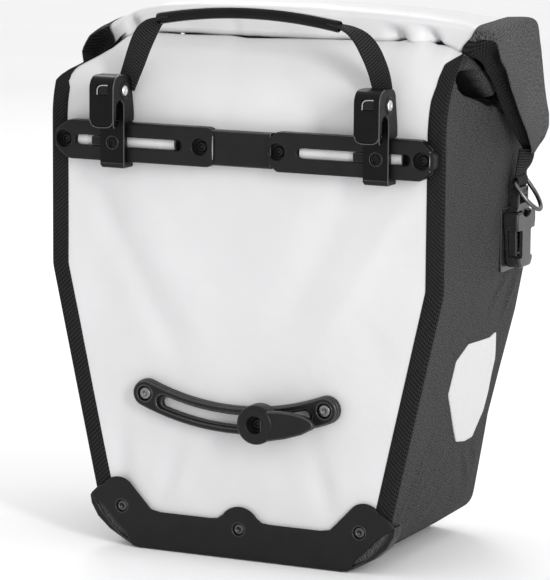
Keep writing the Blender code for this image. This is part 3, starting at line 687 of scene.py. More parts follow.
def side_line(step):
    """The bag's outline in front view, from under the base up to the shoulder, at even steps,
    with the outward direction at each point."""
    corners = np.array(rounded(SIDE_PROFILE, SIDE_RADII, 8))
    run = path_lengths(corners)
    line = resampled(corners, run, np.linspace(0, run[-1], int(run[-1] / step) + 1))
    ahead = np.gradient(line, axis=0)
    ahead /= np.linalg.norm(ahead, axis=1)[:, None]
    return line, np.stack([ahead[:, 1], -ahead[:, 0]], axis=-1)


def half_width(z):
    line, _ = side_line(2.0)
    return np.interp(z, line[:, 1], line[:, 0])


def front_depth(z):
    """The front sheet is not quite flat: it is drawn in below the middle."""
    return np.interp(z, [0, 12, 31, 60, 95, 130, 177, 215, 260, 357],
                     [163, 166, 167, 163, 158, 160, 164, 160, 163, 165])


def lean_in(z):
    """How far the shoulder has leaned in at a height, from either face of the bag."""
    rise = np.clip((np.asarray(z, float) - ARC_START) / ARC_RADIUS, 0, 0.97)
    return ARC_RADIUS * (1 - np.sqrt(1 - rise ** 2))


# Hollows of the rack-side sheet: depth, place and width in x, place and width in z, and how far
# the hollow leans towards -x for each millimetre up.
BACK_HOLLOWS = [(1.6, -118, 20, 205, 42, 0), (1.7, -101, 9, 62, 34, 0), (1.4, -60, 8, 60, 24, -0.3),
                (1.4, 65.5, 9, 62, 25, 0.25), (-0.6, 20, 18, 64, 20, 0), (1.4, -10.4, 10, 332, 9, -0.8),
                (1.2, -60, 30, 343, 12, 0), (1.0, 62, 26, 340, 12, 0)]
# Long folds: depth, place and width in x at 215 mm up, lean, and where in z they start and end.
BACK_FOLDS = [(1.9, -92, 13, 0.55, (120, 190), (270, 292)), (-0.9, -60, 15, 0.55, (120, 180), (275, 292)),
              (1.6, 52, 17, -0.5, (150, 200), (265, 292)), (-1.0, 92, 12, -0.62, (150, 185), (265, 290))]


def back_relief(x, z):
    """Soft hollows and ridges of the rack-side sheet; positive is into the bag."""
    relief = np.zeros(np.shape(x))
    for depth, x0, width, z0, height, lean in BACK_HOLLOWS:
        relief += depth * bell(x + lean * (z - z0), x0, width) * bell(z, z0, height)
    for depth, x0, width, lean, start, end in BACK_FOLDS:
        relief += depth * bell(x + lean * (z - 215), x0, width) * smooth(z, *start) * (1 - smooth(z, *end))
    points = np.stack([x, np.zeros_like(x), z], axis=-1)
    return 1.35 * relief + 0.8 * wander(points, 16.0, 3.1) + 0.3 * wander(points, 48.0, 8.2)


def over_shoulder(rows, edge_x, edge_z, steps):
    """Carries a sheet in over the shoulder, up to an edge of varying height and tucked under."""
    base = rows[-1]
    x = base[:, 0]
    inner = smooth(half_width(ARC_START) - np.abs(x), 15.0, 34.0)
    top = np.interp(x, edge_x, edge_z)
    on_arc = np.minimum(top, ARC_TOP)
    end = np.arcsin((on_arc - ARC_START) / ARC_RADIUS)
    for step in range(1, steps + 1):
        t = step / steps
        angle = end * t
        row = np.stack([x, base[:, 1] * (1 - t) + ARC_RADIUS * (1 - np.cos(angle)),
                        ARC_START + ARC_RADIUS * np.sin(angle) + (top - on_arc) * t ** 3], axis=-1)
        puff = math.sin(math.pi * t) * (0.8 + 0.9 * wander(row, 24.0, 5.5)) * inner - 0.35 * t
        row[:, 1] -= puff * np.cos(angle)
        row[:, 2] += puff * np.sin(angle)
        rows.append(row)
    narrower, further_in = (0.972, 1.0, 1.0), (0.0, 6.0, -1.5)
    rows.append(rows[-1] * narrower + further_in)
    return np.array(rows)


def make_back_sheet():
    """One sheet from the base up the rack side, over the shoulder and under the roll."""
    cols = 110
    across = np.sin(np.linspace(-1, 1, cols) * math.pi / 2 * 0.92) / math.sin(math.pi / 2 * 0.92)
    rows = []
    for z in np.linspace(0.6, ARC_START, 120):
        x = across * (half_width(z) - 1.5)
        ease = smooth(half_width(z) - np.abs(x), 9.0, 24.0) * smooth(z, 20, 42)
        rows.append(np.stack([x, back_relief(x, np.full(cols, z)) * ease, np.full(cols, z)], axis=-1))
    points = over_shoulder(rows, SHEET_TOP_X, SHEET_TOP_Z, 40)
    sheet = sheet_piece("body_sheet_back", points, "tarpaulin")
    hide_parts("back_panel", "back_shoulder")


def make_front_sheet():
    """One sheet from the base up the front and over the shoulder, which nobody sees in the photo."""
    cols = 84
    across = np.linspace(-1, 1, cols)
    rows = []
    for z in np.linspace(0.6, ARC_START, 100):
        x = across * (half_width(z) - 1.5)
        points = np.stack([x, np.zeros(cols), np.full(cols, z)], axis=-1)
        ease = smooth(half_width(z) - np.abs(x), 9.0, 30.0)
        belly = 2.2 * ease * math.sin(math.pi * min(z / 330.0, 1.0))
        ripple = (1.2 * wander(points, 14.0, 21.0) + 0.4 * wander(points, 40.0, 24.0)) * ease
        rows.append(np.stack([x, DEPTH - front_depth(z) - belly - ripple, np.full(cols, z)], axis=-1))
    points = over_shoulder(rows, [-158, -150, -140, -130, -120, -112, 112, 140, 158],
                           [351, 357, 362.5, 368, 375.5, 382, 385, 380, 376], 26)
    points[..., 1] = DEPTH - points[..., 1]
    sheet = sheet_piece("body_sheet_front", points, "tarpaulin", flip=True)
    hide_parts("front_panel", "front_shoulder")


def make_base_sheet():
    """The same white sheet seen from below, just clear of the ground."""
    cols, count = 40, 44
    across = np.linspace(-1, 1, cols) * 88.0
    x, depth = np.meshgrid(across, np.linspace(0.0, 163.0, count))
    points = np.stack([x, depth, np.zeros_like(x)], axis=-1)
    lift = 0.7 + 2.4 * (1 - smooth(depth, 30, 34)) + 1.2 * smooth(depth, 155, 163)
    points[..., 2] = lift + 0.25 + 0.25 * wander(points, 20.0, 41.0) + 2.0 * smooth(np.abs(x), 78, 88)
    sheet = sheet_piece("body_sheet_base", points, "tarpaulin", flip=True)
    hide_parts("bottom_panel")


# ---- the black sides

# The gusset's fold: its hollow's lower and upper lines and the fold's top, by depth from the nearer
# sheet, and the creases lower down.
HOLLOW_LOW = ([12, 15, 19, 30.6, 59.7, 83.6, 110], [371, 367, 359, 353, 346.5, 339, 329])
HOLLOW_HIGH = ([12, 15, 43, 63, 83.4, 110], [371.5, 369, 368, 355, 344.3, 332])
FOLD_TOP = ([12, 36, 52.6, 72.6, 86.6, 99.5, 110, 116], [382, 383, 375.5, 366, 360.5, 351, 341, 333])
SIDE_RIDGES = [((8, 33), (62, 112), 5.0, 1.0), ((14, 20), (96, 92), 6.0, 1.0),
               ((30, 14), (120, 66), 6.0, 0.8),
               ((118, 78), (150, 36), 7.0, 1.0), ((132, 76), (156, 60), 6.0, 0.8),
               ((128, 212), (104, 176), 8.0, 1.2), ((150, 212), (136, 168), 7.0, 1.2)]
# Half width of the upper side at the shoulder's edge, by height.
SIDE_TOP = {"right": ([357, 370, 376, 382, 388], [160, 160, 159.5, 158.2, 154]),
            "left": ([350, 354, 358.2, 362, 368.2, 375.6, 382.2, 388],
                     [160, 156.5, 150.5, 143, 132, 121, 117, 110])}
# Width of the welded strip there, by height.
STRIP_TOP = {"right": ([350, 360, 366, 375, 378.3, 382, 386], [14, 12.5, 12.5, 11.5, 6.6, 0.8, 0.4]),
             "left": ([345, 352, 358, 362.5], [13.5, 10.5, 5.0, 0.5])}


def side_outer(side, depth, z):
    """How far the upper side wall stands out, with the hollow and the fold of the gusset."""
    near = np.minimum(depth, DEPTH - depth)
    inward = near - lean_in(z)
    shoulder = np.interp(z, *SIDE_TOP[side])
    x = shoulder + (0 if side == "right" else 8.0 * smooth(near, 14, 60) * smooth(z, 350, 376))
    low = np.interp(near, *HOLLOW_LOW)
    high = np.interp(near, *HOLLOW_HIGH)
    top = np.interp(near, *FOLD_TOP)
    starts, share = ((1.5, 6), 1.0) if side == "right" else ((12, 24), 0.35)
    present = smooth(inward, *starts) * (1 - smooth(near, 100, 112)) * share
    if side == "right":
        present = present * (1 - smooth(depth, 104, 114))
    room = np.clip((high - low) / 6.0, 0, 1)
    pit = 23.0 * room * smooth(z, low - 1.0, low + 4.5) * (1 - smooth(z, high - 2.5, high + 3.0))
    band = np.clip((z - high) / (top - high), 0, 1)
    fold = -3.6 * np.sin(math.pi * band) * (z < top + 2)
    past = 0.75 * np.clip(z - top, 0, 14)
    lip = -0.9 * bell(z, low - 4, 4)
    plain = 9.0 * smooth(z, 352, 386) * smooth(near, 60, 80)
    return x - (pit + fold + past + lip) * present - plain * (1 - present) * smooth(inward, 2, 10)


def ridge_relief(depth, z, ridges):
    """Raised creases: each runs from one point to another, with a width and a height."""
    relief = np.zeros(np.shape(z))
    for (y0, z0), (y1, z1), width, height in ridges:
        length = math.hypot(y1 - y0, z1 - z0)
        uy, uz = (y1 - y0) / length, (z1 - z0) / length
        along = (depth - y0) * uy + (z - z0) * uz
        off = (depth - y0) * -uz + (z - z0) * uy
        taper = smooth(along, 0, length * 0.25) * (1 - smooth(along, length * 0.6, length))
        relief += height * taper * (bell(off, 0, width * 0.5) - 0.7 * bell(off, -width, width * 0.9))
    return relief


def side_columns():
    """Across the side: (inset from the outline, depth) from the back strip's edge to the front's."""
    corner = 3.2
    back = [(STRIP_WIDTH + 0.5, 0.5), (STRIP_WIDTH + 0.1, -0.4), (STRIP_WIDTH - 0.5, -STRIP_PROUD),
            (10.5, -STRIP_PROUD), (7.0, -STRIP_PROUD), (corner, -STRIP_PROUD)]
    turn = [(corner - corner * math.sin(a), corner - STRIP_PROUD - corner * math.cos(a))
            for a in np.radians((22, 45, 68, 90))]
    side = [(0.0, depth) for depth in np.linspace(4.0, DEPTH - 4.0, 118)]
    front = [(inset, DEPTH - depth) for inset, depth in (back + turn)[::-1]]
    return back + turn + side + front, len(back) + 2


def make_side(side):
    """Cloth side with its welded strips: one sheet from under the base to the roll."""
    sign = SIGNS[side]
    columns, strip_count = side_columns()
    inset, depth = np.array(columns).T
    in_front = depth > DEPTH / 2
    line, outward = side_line(3.0)
    keep = line[:, 1] < 300
    rows = []
    for (x, z), (nx, nz) in zip(line[keep], outward[keep]):
        slim = (front_depth(max(z, 0)) - DEPTH) * smooth(depth, 60, 150) * smooth(z, 0, 20)
        rows.append(np.stack([x - inset * nx, depth + slim, z - inset * nz], axis=-1))
    start_z = rows[-1][len(columns) // 2, 2]
    for t in np.linspace(0, 1, 78)[1:]:
        z = start_z + t * (385.5 - start_z)
        lean = float(lean_in(z))
        width = float(np.interp(z, *STRIP_TOP[side]))
        y = lean + depth * (DEPTH - 2 * lean) / DEPTH
        edge = np.where(in_front, DEPTH - depth, depth)
        y = np.where(inset > 0, np.where(in_front, DEPTH - lean - edge, lean + edge), y)
        y = y + (front_depth(z) - DEPTH) * smooth(y, 60, 150)
        x = side_outer(side, y, np.full(len(columns), z)) - inset * width / STRIP_WIDTH
        rows.append(np.stack([x, y, np.full(len(columns), z)], axis=-1))
    points = np.array(rows)
    y, z = points[..., 1], points[..., 2]
    on_side = smooth(y - lean_in(z), 3, 16) * (1 - smooth(y + lean_in(z), DEPTH - 16, DEPTH - 3))
    on_side = on_side * smooth(z, 2, 20)
    quiet = 1 - 0.85 * bell(y, 126, 32) * bell(z, 238, 40)
    probe = np.stack([np.zeros_like(y), y, z], axis=-1)
    relief = 1.3 * wander(probe, 15.0, 2.0 + sign) + 0.5 * wander(probe, 42.0, 6.0 + sign)
    relief = relief * quiet * (1 - 0.7 * smooth(z, 335, 350))
    relief += ridge_relief(y, z, SIDE_RIDGES)
    relief += 2.0 * bell(y, 84, 48) * bell(z, 285, 60) - 1.6 * bell(y, 70, 40) * bell(z, 130, 60)
    points[..., 0] += relief * on_side
    points[..., 2] = np.maximum(points[..., 2], 0.3 + 2.5 * (1 - smooth(y, 30, 34)))
    points[..., 0] *= sign
    cloth = sheet_piece("side_cloth_" + side, points, "side_cloth", flip=sign < 0)
    y, z = points[..., 1], points[..., 2]
    # Faces inside the right side's gusset hollow get a darker cloth: painted shade.
    shaded = (z > np.interp(y, *HOLLOW_LOW) + 0.6) & (z < np.interp(y, *HOLLOW_HIGH) + 0.6)
    shaded &= (y > 12) & (y < 108) & (side == "right")
    paint_strips(cloth, strip_count, shaded)
    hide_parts("side_panel_" + side, "back_strip_" + side, "front_strip_" + side)


def paint_strips(cloth, count, hollow):
    """The seam strips get the darker strip cloth. The inside of the gusset's hollow gets a darker cloth
    still: painted shade.
    """
    cloth.data.materials.append(MATERIALS["strip_and_shade_cloth"])
    cloth.data.materials.append(MATERIALS["hollow_shade_cloth"])
    cols = hollow.shape[1]
    for number, polygon in enumerate(cloth.data.polygons):
        row, column = divmod(number, cols - 1)
        if column < count or column >= cols - 1 - count:
            polygon.material_index = 1
        # The hollow's faces get the darkest cloth, painted shade.
        elif hollow[row, column]:
            polygon.material_index = 2


# ---- the rolled closure

# Outer and inner lines of the roll and its bent-down end, in front view, for each side.
ROLL_OUTER = {
    "right": [(-20, 411), (30, 411.3), (80, 409.8), (120, 407.5), (150, 404.5), (168, 402), (177, 400.6),
              (181.6, 398.4), (182.6, 394), (182.6, 380), (182, 360), (181.6, 340), (181.6, 320), (180, 308),
              (178, 301)],
    "left": [(-20, 411), (-60, 410.3), (-90, 408), (-105, 404.8), (-117, 400.5), (-128, 395.5), (-140, 388.5),
             (-150, 380.5), (-158, 371), (-164, 361), (-170, 350), (-176, 338), (-181, 325), (-182, 312),
             (-180, 302)]}
ROLL_INNER = {
    "right": [(-20, 385), (30, 385.2), (80, 385), (120, 385.5), (145, 385.5), (155, 384), (162, 381),
              (166.5, 377), (167.5, 371), (167.5, 364), (167.5, 350), (167.5, 335), (167.5, 320),
              (168.5, 309), (169, 301)],
    "left": [(-20, 385), (-60, 385), (-90, 385.5), (-105, 383.5), (-114, 380), (-122, 375.5), (-131, 370),
             (-139, 364), (-146, 357), (-153, 349), (-162, 341), (-166, 331), (-169, 320), (-169.5, 310),
             (-169, 302)]}
# Depths of the hanging end's two edges, by height, and of the flat roll's.
ROLL_BACK = {"right": ([300, 307, 320, 333, 352, 365, 373, 384, 393, 397],
                       [125, 117, 102, 88, 70, 60, 48, 40, 38, 42]),
             "left": ([300, 307, 320, 333, 350, 362, 373, 384], [125, 117, 102, 86, 66, 50, 44, 42])}
ROLL_FRONT = ([300, 306, 311, 318, 328, 347.5, 369, 386, 396],
              [130, 136, 146, 151.5, 151, 139.5, 128, 122.5, 119])
FLAT_BACK, FLAT_FRONT = 42, 119
ROLL_STEPS = 150
# Where the white sheet gives way to black cloth, how far it runs on inside, and the height below
# which it is never seen.
BORDER = {"right": 160.0, "left": 131.0}
RUN_ON = {"right": 5, "left": 13}
WHITE_LOWEST = 376


def even_line(points, count, reach):
    """Points at even steps along a line, with its corners softened."""
    corners = np.array(points, float)
    run = path_lengths(corners)
    line = resampled(corners, run, np.linspace(0, run[-1], count))
    padded = np.concatenate([np.repeat(line[:1], reach, 0), line, np.repeat(line[-1:], reach, 0)])
    return softened(padded, reach)


def box_section(corners, radii, per_side=16, per_corner=4):
    """A closed section through its corners, each rounded, with evenly shared points."""
    total = len(corners)
    bends = []
    for k in range(total):
        here, before, after = (np.array(corners[(k + step) % total], float) for step in (0, -1, 1))
        back, ahead = before - here, after - here
        reach = min(radii[k], np.linalg.norm(back) * 0.46, np.linalg.norm(ahead) * 0.46)
        start = here + back / np.linalg.norm(back) * reach
        end = here + ahead / np.linalg.norm(ahead) * reach
        bends.append([start * (1 - t) ** 2 + here * 2 * t * (1 - t) + end * t ** 2
                      for t in np.linspace(0, 1, per_corner + 1)])
    points = []
    for bend, following in zip(bends, bends[1:] + bends[:1]):
        points += bend
        points += [bend[-1] * (1 - t) + following[0] * t for t in np.linspace(0, 1, per_side + 1)[1:-1]]
    return np.array(points)


def roll_sections(side):
    """Closed sections of the flattened roll, from the middle of the bag to the end's tip."""
    outer = even_line(ROLL_OUTER[side], ROLL_STEPS, 1)
    inner = even_line(ROLL_INNER[side], ROLL_STEPS, 4)
    sections = []
    for (ox, oz), (ix, iz) in zip(outer, inner):
        z = (oz + iz) / 2
        bent = float(smooth(abs(ox), BORDER[side] - 8, BORDER[side] + 20))
        back = FLAT_BACK + (float(np.interp(z, *ROLL_BACK[side])) - FLAT_BACK) * bent
        front = FLAT_FRONT + (float(np.interp(z, *ROLL_FRONT)) - FLAT_FRONT) * bent
        hang = bent * float(smooth(392 - z, 0, 14))
        stretch = 1.0 + 2.2 * (1 - bent)
        thick = math.hypot(ox - ix, oz - iz)
        corners = [(back, 1.0), (back + 14.0 * hang, 0.45), (back + 7.0 * hang, 0.0), (front, 0.0),
                   (front, 1.0)]
        section = box_section([(depth / stretch, share * thick) for depth, share in corners],
                              [9.0 - 6.0 * bent, 6.0, 9.0 - 5.0 * bent, 9.0 - 4.0 * bent, 9.0 - 5.5 * bent])
        depth, share = section[:, 0] * stretch, section[:, 1] / thick
        tilt = (depth - 80) * 0.075 * bent * float(smooth(z, 380, 396))
        sections.append(np.stack([ix + (ox - ix) * share, depth, iz + (oz - iz) * share + tilt], axis=-1))
    return np.array(sections)


# Pinches of the roll: place in x, width, share of the roll's size.
PINCHES = {"right": ((103, 7, 0.24), (131, 5, 0.26), (117, 7, -0.12), (60, 14, 0.05), (-22, 7, 0.10)),
           "left": ((-22, 7, 0.10), (-66, 12, 0.05), (-112, 5, 0.30))}


def roll_relief(side, points):
    """Pinches and soft waves of the rolled sheet, as a scale about each section's centre."""
    centre = points.mean(axis=1, keepdims=True)
    x, depth, z = points[..., 0], points[..., 1], points[..., 2]
    scale = 1.0 + 0.03 * wander(points, 20.0, 12.0) + 0.012 * wander(points, 62.0, 15.0)
    low = smooth(74 - depth, 0, 24) * smooth(402 - z, 0, 10)
    for place, width, amount in PINCHES[side]:
        scale -= amount * bell(x + 0.4 * (z - 390), place, width) * low
    hang = smooth(392 - centre[..., 2], 0, 20)
    folds = 0.05 * np.sin(z / 9.0 + 0.06 * depth) * bell(depth, centre[..., 1] - 26, 12)
    scale += hang * (folds + 0.06 * wander(points, 30.0, 31.0))
    joined = smooth(np.abs(x), 20, 34) if side == "left" else smooth(x, -20, -6)
    return centre + (points - centre) * (1 + (scale - 1) * joined)[..., None]


def make_roll():
    """The white roll and its black ends are one rolled sheet, bent down over each side."""
    halves = {}
    for side in SIGNS:
        sections = roll_relief(side, roll_sections(side))
        centres = sections.mean(axis=1, keepdims=True)
        reach = np.abs(centres[:, 0, 0])
        last = int(np.argmax((reach > BORDER[side] + RUN_ON[side]) | (centres[:, 0, 2] < WHITE_LOWEST)))
        white = sections[:last + 1].copy()
        white[-2:] = centres[last - 1:last + 1] + (white[-2:] - centres[last - 1:last + 1]) * 0.94
        halves[side] = white
        first = int(np.argmax(reach > BORDER[side] - 16))
        ear = centres + (sections - centres) * 1.05
        ear = trimmed(ear[first:], border_line(side, ear[first]))
        piece = loft_piece("roll_end_" + side, ear, "ear_cloth", caps=False)
        # The ends' back faces and fold below the top get the darker strip cloth as painted shade.
        piece.data.materials.append(MATERIALS["strip_and_shade_cloth"])
        for number, polygon in enumerate(piece.data.polygons):
            row, column = divmod(number, ear.shape[1])
            if row < len(ear) - 1 and 3 <= column < 42 and ear[row, column, 2] < 393:
                polygon.material_index = 1
        close_tip(piece, ear.shape[1])
        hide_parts("ear_" + side)
    sections = np.concatenate([halves["left"][::-1], halves["right"][1:]])
    roll = loft_piece("roll_sheet", sections, "tarpaulin")
    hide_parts("roll_top", "closure_stiffener")


def border_line(side, ring):
    """Where the black cloth begins around the roll, measured along x."""
    depth = ring[:, 1]
    upper = smooth(ring[:, 2], 388, 402)
    if side == "right":
        return 156.0 + 9.0 * upper - 3.0 * smooth(depth, 60, 120)
    return 133.0 - 12.0 * upper * smooth(depth, 44, 70)


def trimmed(rings, border):
    """Starts each lengthwise line of the rings at the border, and spreads its points again."""
    result = rings.copy()
    steps = np.arange(len(rings))
    for column, edge in enumerate(border):
        x = np.abs(rings[:, column, 0])
        past = int(np.argmax(x > edge))
        if past:
            start = past - 1 + (edge - x[past - 1]) / max(x[past] - x[past - 1], 1e-6)
            at = np.linspace(start, steps[-1], len(steps))
            result[:, column] = resampled(rings[:, column], steps, at)
    return result


def close_tip(obj, around):
    """Closes the roll end's lower tip, leaving the end inside the roll open."""
    bm = bmesh.new()
    bm.from_mesh(obj.data)
    lowest = min(vertex.co.z for vertex in bm.verts)
    rim = [edge for edge in bm.edges if edge.is_boundary and edge.verts[0].co.z < lowest + 0.02]
    bmesh.ops.holes_fill(bm, edges=rim, sides=around + 2)
    bm.to_mesh(obj.data)
    bm.free()


# ---- screws and rivets


def torx(angle, radius):
    return 1.0 + 0.16 * math.cos(6 * angle) if radius < 2.2 else 1.0


def cross(angle, radius):
    return 1.0 + 0.42 * math.cos(4 * angle) if radius < 1.8 else 1.0


def screw_head(node, x, z, front, seat, radius, drive, material="screw", body="root"):
    """A pan head with a driver's socket, seen from the rack side."""
    rim = [(radius * share, depth) for share, depth in
           ((0.96, seat), (1.0, seat - 0.3), (1.0, front + 1.1), (0.96, front + 0.7), (0.84, front + 0.25),
            (0.66, front), (0.52, front))]
    socket = [(2.1, front + 0.12), (1.95, front + 0.3), (1.7, front + 1.5), (0.5, front + 1.9)]
    head = lathe_piece(node + "_head", (x, 0, z), "y", rim + socket, material, body, 48, drive)
    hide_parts(node)
    return head


def ring_piece(name, centre, inner, outer, low, high, body="root", edge=0.4):
    loops = [circle(centre, outer, 48), circle(centre, inner, 48)]
    return plate_piece(name, loops, "XZ", low, high, "plastic", body, edge)


# ---- the hook rail

RAIL_Z = 308.4
RAIL_HALF = 14.6
RAIL_SCREWS = (-143.5, -30.5, 32.0, 145.5)
RAIL_SLOTS = ((-134.0, -45.0), (48.0, 137.0))


def slot_loop(low, high, half):
    return (arc((high - half, RAIL_Z), half, -90, 90, 12) + arc((low + half, RAIL_Z), half, 90, 270, 12))


def rail_block(name, low, high, cuts, bend, wells, slot):
    """A thick end of the rail, with cut corners, deep screw wells and the hook's slot."""
    (low_x, low_z), (high_x, high_z) = cuts
    lower = [(low, low_z - RAIL_HALF), (low + low_x, -RAIL_HALF), (high - high_x, -RAIL_HALF),
             (high, high_z - RAIL_HALF)]
    corners = [(x, RAIL_Z + up) for x, up in lower] + [(x, RAIL_Z - up) for x, up in lower[::-1]]
    loops = [rounded(corners, bend, 6)] + [circle((x, RAIL_Z), 6.2, 40) for x in wells]
    loops.append(slot_loop(*slot, 3.8))
    return plate_piece(name, loops, "XZ", -11.8, -1.8, "plastic", edge=1.5, drop=1.1)


def make_rail():
    left = rail_block("rail_left", -151.0, -18.5, ((11, 9), (4, 5)), 9.0, RAIL_SCREWS[:2], RAIL_SLOTS[0])
    rail_block("rail_right", 24.0, 156.0, ((8, 7), (11, 9.5)), 4.0, RAIL_SCREWS[2:], RAIL_SLOTS[1])
    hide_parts("hook_rail")
    # Bright beads at an end of each rail block: painted highlight lines.
    for name, x, reach in (("rail_highlight_rim_left", -19.6, 8.4), ("rail_highlight_rim_right", 152.6, 7.2)):
        line = [(x, -11.3, RAIL_Z - reach), (x, -11.5, RAIL_Z), (x, -11.3, RAIL_Z + reach)]
        tube_piece(name, line, 0.45, "bright_rim")
    link = box_loop((-23, 27), (RAIL_Z - 13, RAIL_Z + 13))
    plate_piece("rail_link", [link], "XZ", -10.4, -2.0, "plastic", edge=0.9)
    floor = rounded(box_loop((-149, 154), (RAIL_Z - 12, RAIL_Z + 12)), 9, 6)
    slots = [slot_loop(low - 0.4, high + 0.4, 4.2) for low, high in RAIL_SLOTS]
    plate_piece("rail_floor", [floor] + slots, "XZ", -6.8, -1.9, "plastic", edge=0.3)
    for number, (low, high) in enumerate(RAIL_SLOTS, 1):
        ramp = [(high - 9, -2.2), (high - 8, -2.6), (high - 1, -8.6), (high - 0.2, -8.6), (high - 0.2, -2.0)]
        x, rise = np.meshgrid(np.linspace(low + 1, high - 8.5, 40), np.linspace(-4.0, 4.0, 9))
        depth = -8.4 + 1.4 * (rise / 4.0) ** 2 + 1.6 * smooth(x, high - 22, high - 8)
        sheet_piece("slot_sheet_%d" % number, np.stack([x, depth, RAIL_Z + rise], axis=-1), "tarpaulin")
        plate_piece("rail_ramp_%d" % number, [ramp], "XY", RAIL_Z - 3.6, RAIL_Z + 3.6, "plastic", edge=0.2)
    # The screws sit deep in their wells and get the darker steel as painted shade.
    for number, x in enumerate(RAIL_SCREWS, 1):
        screw_head("rail_screw_%d" % number, x + 0.4, RAIL_Z - 0.2, -8.4, -6.6, 4.2, torx, "dark_screw")


# ---- the hooks

PIVOT = (-16.6, 347.5)


def make_hook(side):
    """A hook with its window, rivet, latch drum and clamp; points are measured from its middle."""
    middle = HOOK_X[side]
    hook, latch = "hook_" + side, "latch_" + side

    def plate(name, loop, low, high, edge):
        loop = [(middle + x, z) for x, z in loop]
        plate_piece(name + side, [loop], "XZ", low, high, "plastic", hook, edge)

    def rim(name, points, radius, material="rim"):
        tube_piece(name + side, [(middle + x, depth, z) for x, depth, z in points], radius, material, hook)

    polish_cad(hook, "hook_plastic", 0.75, 3)
    polish_cad(latch, "hook_plastic", 0.5)
    insert = [(-3.6, 345.2), (5.0, 345.2), (5.0, 352.0), (1.0, 352.0)] + arc((0.4, 348.0), 4.0, 90, 180, 8)
    plate("window_insert_", insert, -32.8, -28.0, 0.6)
    boss = [(6.6, 8.6), (6.6, 9.9), (6.2, 10.5), (5.4, 10.8), (4.6, 10.6), (4.2, 10.2), (4.1, 9.6)]
    rivet = [(3.9, 9.9), (4.0, 10.3), (3.9, 10.7), (3.4, 11.1), (2.4, 11.35), (1.3, 11.4), (1.1, 11.1),
             (0.4, 11.0)]
    for part, profile, material in (("boss", boss, "plastic"), ("head", rivet, "rivet")):
        for sign, end in ((1, "outer"), (-1, "inner")):
            turned = lathe_piece("rivet_%s_%s_%s" % (part, end, side), (middle, *PIVOT), "x",
                                 [(radius, sign * along) for radius, along in profile], material, hook)
    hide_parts("hook_rivet_" + side)
    drum = [(5.4, -4.3), (5.9, -4.0), (5.9, 4.0), (5.4, 4.3)]
    lathe_piece("latch_drum_" + side, (middle, *PIVOT), "x", drum, "plastic", latch)
    # The clamp screw's head gets the darker steel, painted shade in its socket.
    socket = [(3.95, -14.5), (4.0, -16.4), (3.8, -16.8), (3.2, -17.0), (2.9, -16.8), (2.75, -15.9),
              (2.2, -15.9), (2.1, -16.5), (1.7, -16.6), (1.3, -16.4), (1.2, -15.4), (0.3, -15.2)]
    screw = lathe_piece("hook_screw_head_" + side, (middle, 0, RAIL_Z), "y", socket, "dark_screw", hook, 48)
    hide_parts("hook_screw_" + side)
    ring_piece("hook_screw_rim_" + side, (middle, RAIL_Z), 4.35, 5.3, -17.45, -16.6, hook, 0.35)
    # Thin beads in lighter plastic along the jaw, its lower edge, the window and the arm: painted highlight
    # lines.
    rim("jaw_highlight_rim_", [(9.7, depth, z) for depth, z in (
        (-24.5, 359.1), (-27.8, 358.5), (-30.8, 356.8), (-33.0, 353.8), (-34.1, 350.0), (-34.1, 338),
        (-34.1, 327), (-33.6, 322.4), (-32.4, 321.0))], 0.42)
    rim("jaw_hem_highlight_", [(-9.8, -33.9, 327), (-9.0, -34.0, 323.6), (-5.8, -34.0, 321.3), (0.0, -34.0, 321.1),
                     (5.8, -34.0, 321.3), (9.0, -34.0, 323.6), (9.8, -33.9, 327)], 0.36)
    rim("window_highlight_rim_", [(-3.7, -33.6, 345.2), (-3.7, -33.8, 348.6), (-3.0, -33.8, 351.0),
                        (-0.6, -33.7, 352.4), (4.9, -33.7, 352.4)], 0.42, "bright_rim")
    rim("arm_highlight_rim_", [(9.7, depth, z) for depth, z in (
        (-21.4, 340.2), (-19.0, 338.9), (-17.4, 336.6), (-17.1, 333.0), (-17.1, 315.0), (-17.1, 300),
        (-17.0, 290.2))], 0.38)
    lip = [(-10.1, 291.6), (-8.4, 289.6), (10.1, 289.6), (10.1, 293.4), (-10.1, 293.4)]
    plate("clamp_lip_", rounded(lip, 1.0, 3), -17.3, -3.0, 0.6)
    shoe = box_loop((-20.5, 2.5), (RAIL_Z - 3.4, RAIL_Z + 3.4))
    plate("clamp_shoe_", rounded(shoe, 1.2, 3), -11.3, -8.7, 0.5)


# ---- the handle


def strap_piece(name, route, widths, turns, thickness, body, reach=6):
    """Webbing along a route: at each point a half width and the way its width faces, in
    degrees from the depth direction towards the route's own side."""
    count = 60
    places = range(len(route))
    at = np.linspace(0, len(route) - 1, count)
    line = resampled(route, places, at)
    line = softened(np.concatenate([2 * line[0] - line[reach:0:-1], line,
                                    2 * line[-1] - line[-2:-reach - 2:-1]]), reach)
    half = np.interp(at, places, widths)
    turn = np.radians(np.interp(at, places, turns))
    ahead = np.gradient(line, axis=0)
    ahead /= np.linalg.norm(ahead, axis=1)[:, None]
    depth = np.array([0.0, 1.0, 0.0])
    sideways = np.cross(ahead, depth)
    sideways /= np.linalg.norm(sideways, axis=1)[:, None]
    wide = np.cos(turn)[:, None] * depth + np.sin(turn)[:, None] * sideways
    thick = np.cross(ahead, wide)
    shares = np.linspace(-1, 1, 15)
    around = [(share, thickness / 2) for share in shares]
    around += [(share, -thickness / 2) for share in shares[::-1]]
    sections = [[line[k] + wide[k] * share * half[k] + thick[k] * face * (1.0 - 0.25 * share ** 8)
                 for share, face in around] for k in range(count)]
    return loft_piece(name, sections, "webbing", body)


